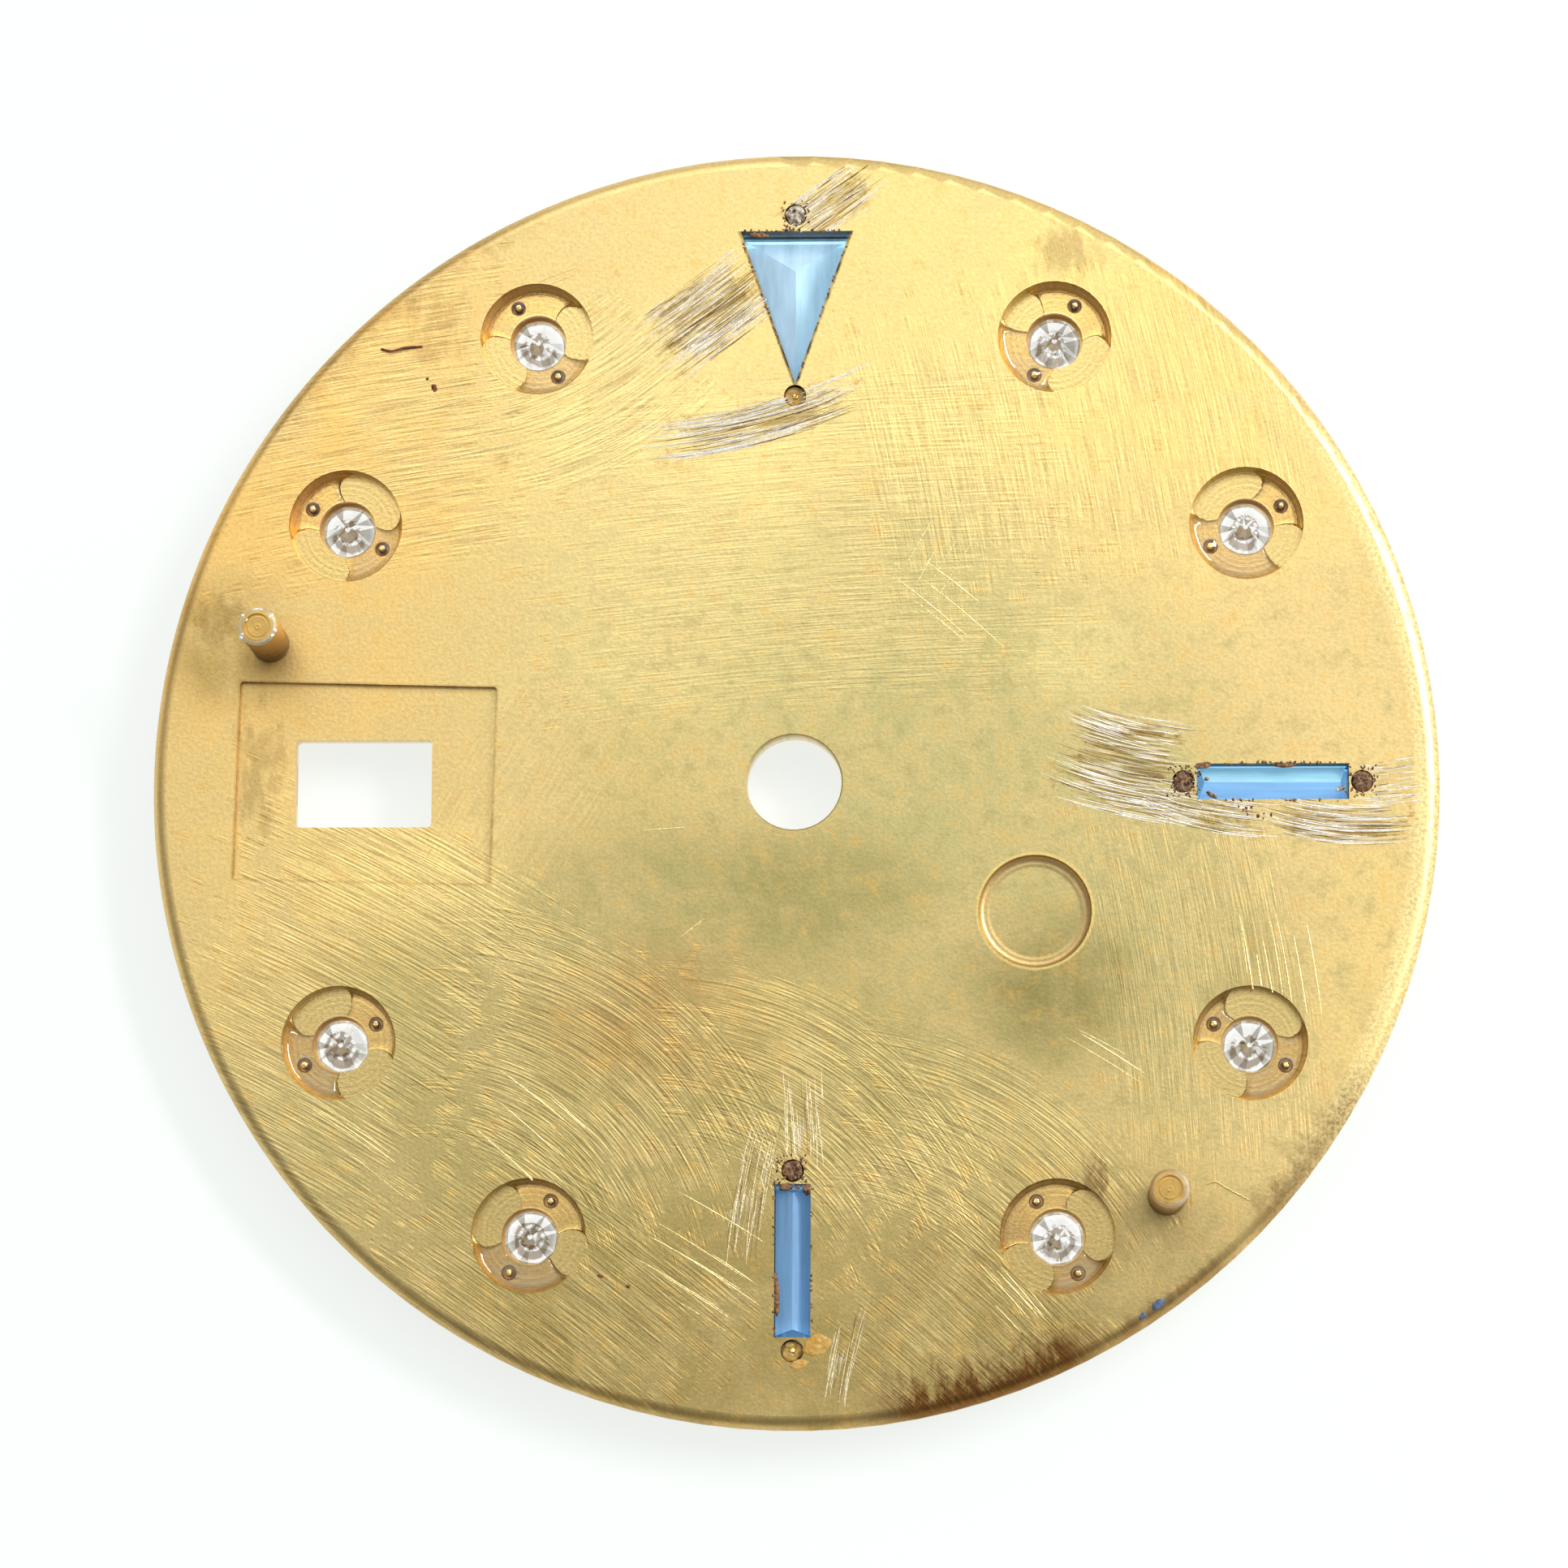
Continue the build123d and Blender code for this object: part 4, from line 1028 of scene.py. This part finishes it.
def lump(name, finish, slot, x, y, base, height, reach_x, reach_y,
         turn=0.0, seed=1, sink=0.01, dish=0.0):
    """Irregular dome on a level base, closed underneath. Lengths in mm, turn in degrees."""
    rings, steps = LUMP_RINGS, LUMP_STEPS
    shape = bmesh.new()
    cosine, sine = math.cos(math.radians(turn)), math.sin(math.radians(turn))
    rows = []
    for i in range(1, rings + 1):
        share = i / rings
        row = []
        for k in range(steps):
            angle = 2 * math.pi * k / steps
            way_x, way_y = math.cos(angle), math.sin(angle)
            ragged = 1 + 0.22 * noise.noise(Vector((way_x * 1.7, way_y * 1.7, seed * 3.1)))
            u, v = share * reach_x * ragged * way_x, share * reach_y * ragged * way_y
            rise = math.sqrt(max(0.0, 1 - share ** 2)) * height - dish * (1 - share)
            rough = 0.6 * height * noise.noise(Vector((u * 13, v * 13, seed * 1.7)))
            rise += rough * (1 - share ** 4)
            level = base + rise if i < rings else base - sink
            corner = Vector((x + u * cosine - v * sine, y + u * sine + v * cosine, level))
            row.append(shape.verts.new(corner * MM))
        rows.append(row)
    middle = shape.verts.new(Vector((x, y, base + height - dish)) * MM)
    under = shape.verts.new(Vector((x, y, base - sink)) * MM)
    for k in range(steps):
        j = (k + 1) % steps
        shape.faces.new((middle, rows[0][k], rows[0][j]))
        for i in range(rings - 1):
            shape.faces.new((rows[i][k], rows[i + 1][k], rows[i + 1][j], rows[i][j]))
        shape.faces.new((under, rows[-1][j], rows[-1][k]))
    return piece_from(shape, name, finish)


print("a lump has", LUMP_RINGS * LUMP_STEPS + 2, "corners")

# %% Plugs in the pin wells
WELL_R = 0.235
# well: x, y, finish, height of the base, rise, dish
WELLS = {
    "cement_12_outer": (0.0, 11.84, grey_crust, -0.04, 0.07, 0.02),
    "cement_12_inner": (0.0, 8.03, amber, -0.12, 0.06, 0.05),
    "cement_06_inner": (0.0, -7.93, crust, -0.06, 0.08, 0.04),
    "cement_06_outer": (0.0, -11.56, amber, -0.12, 0.07, 0.05),
    "cement_09_inner": (7.93, 0.0, crust, -0.06, 0.08, 0.05),
    "cement_09_outer": (11.56, 0.0, crust, -0.06, 0.08, 0.05),
}
for number, (name, (x, y, finish, base, rise, dish)) in enumerate(WELLS.items()):
    plug = lump(name.replace("cement", "plug"), finish, "cement", x, y, base, rise,
                WELL_R, WELL_R, seed=number + 2, dish=dish, sink=0.3)
    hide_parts(name)
print("plugs:", len(WELLS))

# %% Crusts, specks, burrs of a foot and spilled cement
# x, y, base, height, reach x, reach y, turn, finish, slot
LUMPS = (
    (-0.14, -8.26, -0.01, 0.03, 0.13, 0.09, 10, crust, "cement"),
    (0.30, -8.30, -0.03, 0.03, 0.10, 0.13, 0, crust, "cement"),
    (-0.33, -10.4, -0.02, 0.02, 0.07, 0.42, 4, crust, "cement"),
    (9.98, 0.35, -0.02, 0.03, 0.26, 0.07, 0, crust, "cement"),
    (8.50, -0.28, -0.01, 0.02, 0.12, 0.05, -30, crust, "cement"),
    (8.40, 0.05, -0.01, 0.02, 0.05, 0.04, 0, crust, "cement"),
    (8.33, 0.33, 0.0, 0.02, 0.18, 0.07, 10, crust, "cement"),
    (11.12, -0.15, -0.02, 0.02, 0.10, 0.05, 25, grey_crust, "cement"),
    (-0.75, 11.42, -0.01, 0.03, 0.22, 0.06, -8, crust, "cement"),
    (0.50, -11.45, 0.0, 0.03, 0.30, 0.22, 25, amber, "cement"),
    (0.15, -11.83, 0.0, 0.02, 0.20, 0.10, 12, amber, "cement"),
    (-7.45, 8.23, 0.0, 0.03, 0.06, 0.09, 20, rust, "plate"),
    (-7.60, 8.42, 0.0, 0.02, 0.04, 0.03, 20, rust, "plate"),
    (-3.87, -10.06, 0.0, 0.03, 0.07, 0.035, -15, rust, "plate"),
    (-3.31, -10.27, 0.0, 0.03, 0.05, 0.04, -15, rust, "plate"),
    (0.0, 8.03, -0.11, 0.05, 0.075, 0.075, 0, setting_finish, "settings"),
    (0.0, -11.56, -0.11, 0.05, 0.075, 0.075, 0, setting_finish, "settings"),
    (-10.49, 3.09, 2.165, 0.04, 0.07, 0.04, 40, burr, "feet"),
    (-10.41, 2.80, 2.165, 0.045, 0.05, 0.05, 0, burr, "feet"),
    (-10.46, 2.70, 2.165, 0.04, 0.04, 0.04, 0, burr, "feet"),
    (-11.03, 3.06, 2.165, 0.035, 0.06, 0.09, 35, burr, "feet"),
    (-11.06, 2.70, 2.165, 0.035, 0.05, 0.10, -20, burr, "feet"),
    (-10.76, 3.22, 2.165, 0.035, 0.12, 0.04, 0, burr, "feet"),
    (7.36, -10.61, 0.0, 0.02, 0.16, 0.09, 40, ink_blue, "plate"),
    (7.05, -10.85, 0.0, 0.02, 0.10, 0.05, 50, ink_blue, "plate"),
)
for number, (*shape_values, finish, slot) in enumerate(LUMPS):
    lump(f"lump_{number + 1:02d}", finish, slot, *shape_values, seed=number + 20)
print("lumps:", len(LUMPS))

# %% Ends of the pins
for hour in POOLS:
    turn = hour_turn(hour)
    for pin_r in (POCKET_CIRCLE_R - PIN_OUT, POCKET_CIRCLE_R + PIN_OUT):
        lump(f"pin_end_{hour}_{round(pin_r)}", pin_end, "settings",
             pin_r * math.cos(turn), pin_r * math.sin(turn), PIN_TOP - 0.002, 0.014, 0.066, 0.066,
             seed=round(pin_r))
print("ends of pins:", 2 * len(POOLS))

# %% [markdown]
# ## Burrs and grooves of the scrapes
# A scrape pushes up a burr beside every groove. A Geometry Nodes tree makes them, because there
# are hundreds that differ only by chance. It scatters strokes over a zone, gives each its own
# place, length and width, and bends it along the zone's arc. A stroke is a low ridge: three
# points wide, pointed at both ends, with its edges just under the metal.

# %% New tree with named inputs
def start_growth(name, **inputs):
    """Take up a new Geometry Nodes tree with named inputs, and the node that gives them."""
    global tree
    tree = bpy.data.node_groups.new(name, "GeometryNodeTree")
    tree.interface.new_socket("Geometry", in_out="OUTPUT", socket_type="NodeSocketGeometry")
    for kind, titles in inputs.items():
        for title in titles:
            tree.interface.new_socket(title, in_out="INPUT", socket_type="NodeSocket" + kind)
    return tree, add("NodeGroupInput")


stroke_tree, given = start_growth(
    "strokes along an arc", Int=("Strokes", "Seed"), Vector=("Middle",), Material=("Finish",),
    Float=("Slope", "Arc Radius", "Spread", "Half Width", "Shortest", "Longest", "Stroke Width",
           "Ridge Height", "Crowding", "Lean"),
)
print("sizes that the strokes ask for:", len(given.outputs) - 1)

# %% Numbers of a stroke
# every stroke draws five numbers, each from its own seed and between its own limits
DRAW_LIMITS = ((-1.0, 1.0), (-1.0, 1.0), (0.0, 1.0), (0.55, 1.45), (-1.0, 1.0))
SEED_STEP = 17.0
side_draw, start_draw, run_draw, width_draw, lean_draw = (
    add("FunctionNodeRandomValue", {
        2: low, 3: high, "Seed": add("Math ADD", (given, "Seed"), number * SEED_STEP),
    }, data_type="FLOAT")
    for number, (low, high) in enumerate(DRAW_LIMITS, 1)
)
side_share = add(
    "Math MULTIPLY", add("Math SIGN", side_draw),
    add("Math POWER", add("Math ABSOLUTE", side_draw), (given, "Crowding")),
)
span = add("Math SUBTRACT", (given, "Longest"), (given, "Shortest"))
numbers = {
    "side": add("Math MULTIPLY", side_share, (given, "Half Width")),
    "start": add("Math MULTIPLY", start_draw, (given, "Spread")),
    "run": add("Math MULTIPLY_ADD", run_draw, span, (given, "Shortest")),
    "width": add("Math MULTIPLY", width_draw, (given, "Stroke Width")),
    "lean": add("Math MULTIPLY", lean_draw, (given, "Lean")),
}
strokes = add("GeometryNodePoints", {"Count": (given, "Strokes")})
for name, value in numbers.items():
    strokes = add("GeometryNodeStoreNamedAttribute", {
        "Geometry": strokes, "Name": name, "Value": value,
    }, data_type="FLOAT", domain="POINT")
ribbon = add("GeometryNodeMeshGrid", {
    "Size X": 1.0, "Size Y": 1.0, "Vertices X": 11, "Vertices Y": 3,
})
placed = add("GeometryNodeInstanceOnPoints", {"Points": strokes, "Instance": ribbon})
real = add("GeometryNodeRealizeInstances", {"Geometry": placed})
at_x, at_y = add("SeparateXYZ", add("GeometryNodeInputPosition")).outputs[:2]
side, start, run, width, lean = (
    add("GeometryNodeInputNamedAttribute", {"Name": name}, data_type="FLOAT")
    for name in numbers
)
print("numbers stored on every stroke:", len(numbers))

# %% Shape of a stroke
taper = add(
    "Math SQRT",
    add("Math MAXIMUM", add("Math MULTIPLY_ADD", add("Math MULTIPLY", at_x, at_x), -4.0, 1.0), 0.0),
)
along = add("Math MULTIPLY_ADD", at_x, run, start)
thick = add("Math MULTIPLY", add("Math MULTIPLY", at_y, width), taper)
leaned = add("Math MULTIPLY_ADD", add("Math MULTIPLY", at_x, run), lean, side)
across = add("Math ADD", leaned, thick)
bend = add("Math DIVIDE", along, (given, "Arc Radius"))
from_centre = add("Math ADD", across, (given, "Arc Radius"))
flat_x = add("Math MULTIPLY", from_centre, add("Math SINE", bend))
flat_y = add(
    "Math SUBTRACT", add("Math MULTIPLY", from_centre, add("Math COSINE", bend)),
    (given, "Arc Radius"),
)
ridge = add("Math MULTIPLY_ADD", add("Math ABSOLUTE", at_y), -2.0, 1.0)
rise = add("Math MULTIPLY_ADD", add("Math MULTIPLY", ridge, taper), (given, "Ridge Height"), -0.001)
bent = add("CombineXYZ", flat_x, flat_y, rise)
turned = add("VectorRotate", {"Vector": bent, "Angle": (given, "Slope")}, rotation_type="Z_AXIS")
moved = add("VectorMath ADD", turned, (given, "Middle"))
metres = add("VectorMath SCALE", {0: moved, "Scale": MM})
shaped = add("GeometryNodeSetPosition", {"Geometry": real, "Position": metres})
together = add("GeometryNodeRealizeInstances", {"Geometry": shaped})
finished = add("GeometryNodeSetMaterial", {"Geometry": together, "Material": (given, "Finish")})
add("NodeGroupOutput", {"Geometry": finished})
print("stroke tree nodes:", len(stroke_tree.nodes))


# %% Use of a tree
def evaluated_mesh(maker, name):
    """Plain mesh from an object with a modifier or a curve. The object itself is taken away."""
    bpy.context.view_layer.update()
    ready = maker.evaluated_get(bpy.context.evaluated_depsgraph_get())
    mesh = bpy.data.meshes.new_from_object(ready)
    mesh.name = name
    bpy.data.objects.remove(maker)
    return mesh


def grown(name, growth, slot, **values):
    """Plain mesh piece from a Geometry Nodes tree, with its named inputs set."""
    seedling = bpy.data.objects.new(name + "_tree", bpy.data.meshes.new(name + "_tree"))
    scene.collection.objects.link(seedling)
    modifier = seedling.modifiers.new("tree", "NODES")
    modifier.node_group = growth
    sockets = growth.interface.items_tree
    identifiers = {item.name: item.identifier for item in sockets if item.in_out == "INPUT"}
    for key, value in values.items():
        modifier[identifiers[key.replace("_", " ")]] = value
    mesh = evaluated_mesh(seedling, name)
    return piece_of(name, mesh)


def strokes_along(name, slot, count, seed, middle, slope, arc_radius, spread, half_width, **values):
    """Piece of strokes in a zone that follows an arc. Lengths in mm, slope in degrees."""
    return grown(name, stroke_tree, slot, Strokes=count, Seed=seed, Middle=(*middle, 0.0),
                 Slope=math.radians(slope), Arc_Radius=arc_radius, Spread=spread,
                 Half_Width=half_width, **values)


print("tree to use:", stroke_tree.name)


# %% Openings that no scrape crosses
def over_opening(x, y):
    """True over a window, a well, a pocket, the hand hole or the rolled rim.

    The numbers are the sizes of the openings in mm, with a hair of room.
    """
    if not 1.0 <= math.hypot(x, y) <= 12.95:
        return True
    if 8.27 < y < 11.5 and abs(x) < (y - 8.27) * 0.354 + 0.01:
        return True
    if (abs(x) < 0.37 and -11.3 < y < -8.2) or (abs(y) < 0.37 and 8.2 < x < 11.3):
        return True
    if any(math.hypot(x - well[0], y - well[1]) < WELL_R for well in WELLS.values()):
        return True
    for turn in map(hour_turn, POOLS):
        centre_x, centre_y = POCKET_CIRCLE_R * math.cos(turn), POCKET_CIRCLE_R * math.sin(turn)
        if math.hypot(x - centre_x, y - centre_y) < POCKET_R + 0.02:
            return True
    return False


def cut_at_openings(piece):
    """Take away the faces of a scraped piece that hang over an opening."""
    shape = bmesh.new()
    shape.from_mesh(piece.data)
    hanging = [face for face in shape.faces if over_opening(*(face.calc_center_median() / MM).xy)]
    bmesh.ops.delete(shape, geom=hanging, context="FACES")
    shape.to_mesh(piece.data)
    shape.free()


print("openings to keep clear:", len(WELLS) + len(POOLS) + len(WINDOWS) + 1)

# %% Burrs and grooves
worn_burr = lump_finish("worn burr, half gilt", "#D8C890", "#FBF0D2", 0.30, 0.50, Metallic=0.9)
groove = lump_finish("dark scraped groove", "#5E4620", "#9A7C3E", 0.45, 0.7, Metallic=0.7)
fresh_gold = lump_finish("fresh scratch in gold", "#EBCF88", "#FFEDB4", 0.25, 0.42, Metallic=1.0)
for number, (name, (*zone, half_length, half_width, silver, dark)) in enumerate(SCRAPES.items()):
    zone += half_length * 0.75, half_width
    lengths = dict(Shortest=half_length * 0.2, Longest=half_length * 1.35, Lean=0.05)
    bright = strokes_along(
        name + "_burrs", "plate", silver, number * 7 + 1, *zone, **lengths, Crowding=0.75,
        Stroke_Width=0.018, Ridge_Height=0.004, Finish=worn_burr if "_6_" in name else burr,
    )
    deep = strokes_along(
        name + "_grooves", "plate", dark, number * 7 + 4, *zone, **lengths, Crowding=1.3,
        Stroke_Width=0.020, Ridge_Height=0.0025, Finish=groove,
    )
    for piece in (bright, deep):
        cut_at_openings(piece)
    print(name, len(bright.data.polygons), len(deep.data.polygons))

# %% Crumbs of grime
# middle, slope, half length, half width, crumbs
CRUMBS = (
    ((7.93, 0.0), 0.0, 0.34, 0.32, 60),
    ((11.56, 0.0), 0.0, 0.32, 0.32, 50),
    ((9.75, 0.37), 0.0, 1.60, 0.03, 40),
    ((9.75, -0.385), 0.0, 1.60, 0.015, 16),
    ((9.30, -0.62), -20.0, 0.45, 0.10, 16),
    ((0.0, -7.95), 0.0, 0.32, 0.34, 50),
    ((-0.385, -9.7), 90.0, 1.60, 0.012, 16),
    ((0.385, -9.7), 90.0, 1.60, 0.012, 18),
    ((0.0, 11.51), 0.0, 1.10, 0.02, 30),
    ((0.0, 11.84), 0.0, 0.30, 0.30, 36),
    ((-0.60, 9.9), -70.6, 1.60, 0.015, 22),
    ((0.58, 9.9), 70.6, 1.60, 0.010, 18),
)
for number, (middle, slope, half_length, half_width, count) in enumerate(CRUMBS):
    strokes_along(
        f"crumbs_{number + 1:02d}", "cement", count, number + 140, middle, slope, 60.0, half_length,
        half_width, Shortest=0.03, Longest=0.07, Stroke_Width=0.055, Ridge_Height=0.014,
        Crowding=1.0, Lean=0.6, Finish=crust,
    )
print("crumbs:", sum(row[-1] for row in CRUMBS))

# %% Fine loose scratches
# middle, slope, arc radius, half length, half width, strokes
LOOSE = (
    ((1.67, -4.0), 27.0, 30.0, 0.95, 0.02, 1),
    ((-2.6, -1.0), 6.0, 60.0, 0.80, 0.05, 1),
    ((-2.2, -3.0), 38.0, 60.0, 0.80, 0.10, 2),
    ((3.2, 3.6), -40.0, 20.0, 1.60, 0.60, 5),
    ((2.9, 4.6), 60.0, 30.0, 1.40, 0.50, 4),
    ((5.4, 5.4), -8.0, 40.0, 1.10, 0.30, 3),
    ((6.4, -5.2), -30.0, 30.0, 1.20, 0.50, 3),
    ((-8.8, -6.8), -35.0, 30.0, 1.60, 0.90, 7),
    ((-5.6, -7.2), -40.0, 30.0, 1.60, 1.10, 8),
    ((-1.6, -9.9), -32.0, 30.0, 1.60, 1.00, 8),
    ((4.6, -10.3), -48.0, 30.0, 1.20, 0.90, 6),
    ((9.9, -3.6), -82.0, 30.0, 1.40, 0.90, 8),
    ((-6.8, 7.4), 12.0, 40.0, 1.60, 0.90, 6),
    ((-5.2, 9.9), 22.0, 40.0, 1.20, 0.60, 4),
)
for number, (*zone, half_length, half_width, count) in enumerate(LOOSE):
    cut_at_openings(strokes_along(
        f"scratches_{number + 1:02d}", "plate", count, number + 60, *zone, half_length * 0.3,
        half_width, Shortest=half_length * 0.7, Longest=half_length * 1.8, Stroke_Width=0.026,
        Ridge_Height=0.005, Crowding=1.0, Lean=0.035, Finish=fresh_gold,
    ))
print("loose scratches:", sum(row[-1] for row in LOOSE))

# %% [markdown]
# ## Fibres
# A brown fibre lies at the upper left and a golden one at the lower right. Each is a thin tube
# swept along a smooth curve: a curve object with a round bevel, turned into a mesh.

# %% Fibres
# name: finish, radius in mm, points
FIBRES = {
    "brown_fibre": (rust, 0.022, (
        (-8.56, 9.05, 0.03), (-8.38, 8.98, 0.05), (-8.20, 9.03, 0.06), (-8.0, 9.08, 0.05),
        (-7.71, 9.10, 0.02),
    )),
    "golden_fibre": (fresh_gold, 0.010, (
        (8.36, -8.20, 0.02), (8.50, -8.12, 0.02), (8.66, -8.22, 0.02), (8.90, -8.36, 0.02),
        (9.21, -8.52, 0.02),
    )),
}
for name, (finish, radius, points) in FIBRES.items():
    line = bpy.data.curves.new(name + "_line", "CURVE")
    line.dimensions = "3D"
    line.bevel_depth = radius * MM
    line.bevel_resolution = 3
    line.use_fill_caps = True
    spline = line.splines.new("NURBS")
    spline.points.add(len(points) - 1)
    for point, at_place in zip(spline.points, points):
        point.co = (*(Vector(at_place) * MM), 1.0)
    spline.order_u = 3
    spline.use_endpoint_u = True
    holder = bpy.data.objects.new(name + "_line", line)
    scene.collection.objects.link(holder)
    mesh = evaluated_mesh(holder, name)
    mesh.materials.clear()
    mesh.materials.append(finish)
    piece_of(name, mesh)
print("fibres:", len(FIBRES))

# %% [markdown]
# ## Minute track of the face
# The face isn't in the photograph. A dial of this kind has a printed minute track near its edge,
# so a plain one is made: sixty strokes, every fifth one twice as wide. Geometry Nodes put a bar
# on each of sixty points of a circle and turn it outwards.

# %% Minute track
track_tree, given = start_growth(
    "minute track", Int=("Minutes",), Material=("Finish",),
    Float=("Circle Radius", "Stroke Length", "Stroke Width", "Ink Thickness", "Height"),
)
circle = add("GeometryNodeMeshCircle", {
    "Vertices": (given, "Minutes"), "Radius": (given, "Circle Radius"),
})
number = add("GeometryNodeInputIndex")
fifth = add("FunctionNodeCompare EQUAL", {
    2: add("Math MODULO", number, 5.0), 3: 0,
}, data_type="INT")
wide = add("Math MULTIPLY_ADD", fifth, 1.0, 1.0)
turn_z = add("Math MULTIPLY", number, add("Math DIVIDE", 2 * math.pi, (given, "Minutes")))
bar = add("GeometryNodeMeshCube", {
    "Size": add(
        "CombineXYZ", (given, "Stroke Length"), (given, "Stroke Width"), (given, "Ink Thickness"),
    ),
})
bars = add("GeometryNodeInstanceOnPoints", {
    "Points": circle, "Instance": bar, "Rotation": add("CombineXYZ", {2: turn_z}),
    "Scale": add("CombineXYZ", 1.0, wide, 1.0),
})
lifted = add("GeometryNodeSetPosition", {
    "Geometry": bars, "Offset": add("CombineXYZ", {2: (given, "Height")}),
})
printed = add("GeometryNodeRealizeInstances", {"Geometry": lifted})
inked = add("GeometryNodeSetMaterial", {"Geometry": printed, "Material": (given, "Finish")})
add("NodeGroupOutput", {"Geometry": inked})
ink = lump_finish("pad-printed brown lacquer", "#2A1C10", "#3E2C1A", 0.3, 0.45)
track = grown(
    "minute_track", track_tree, "plate", Minutes=60, Circle_Radius=12.62 * MM,
    Stroke_Length=0.5 * MM, Stroke_Width=0.07 * MM, Ink_Thickness=0.02 * MM,
    Height=-(PLATE_T + 0.004) * MM, Finish=ink,
)
print("minute track faces:", len(track.data.polygons))
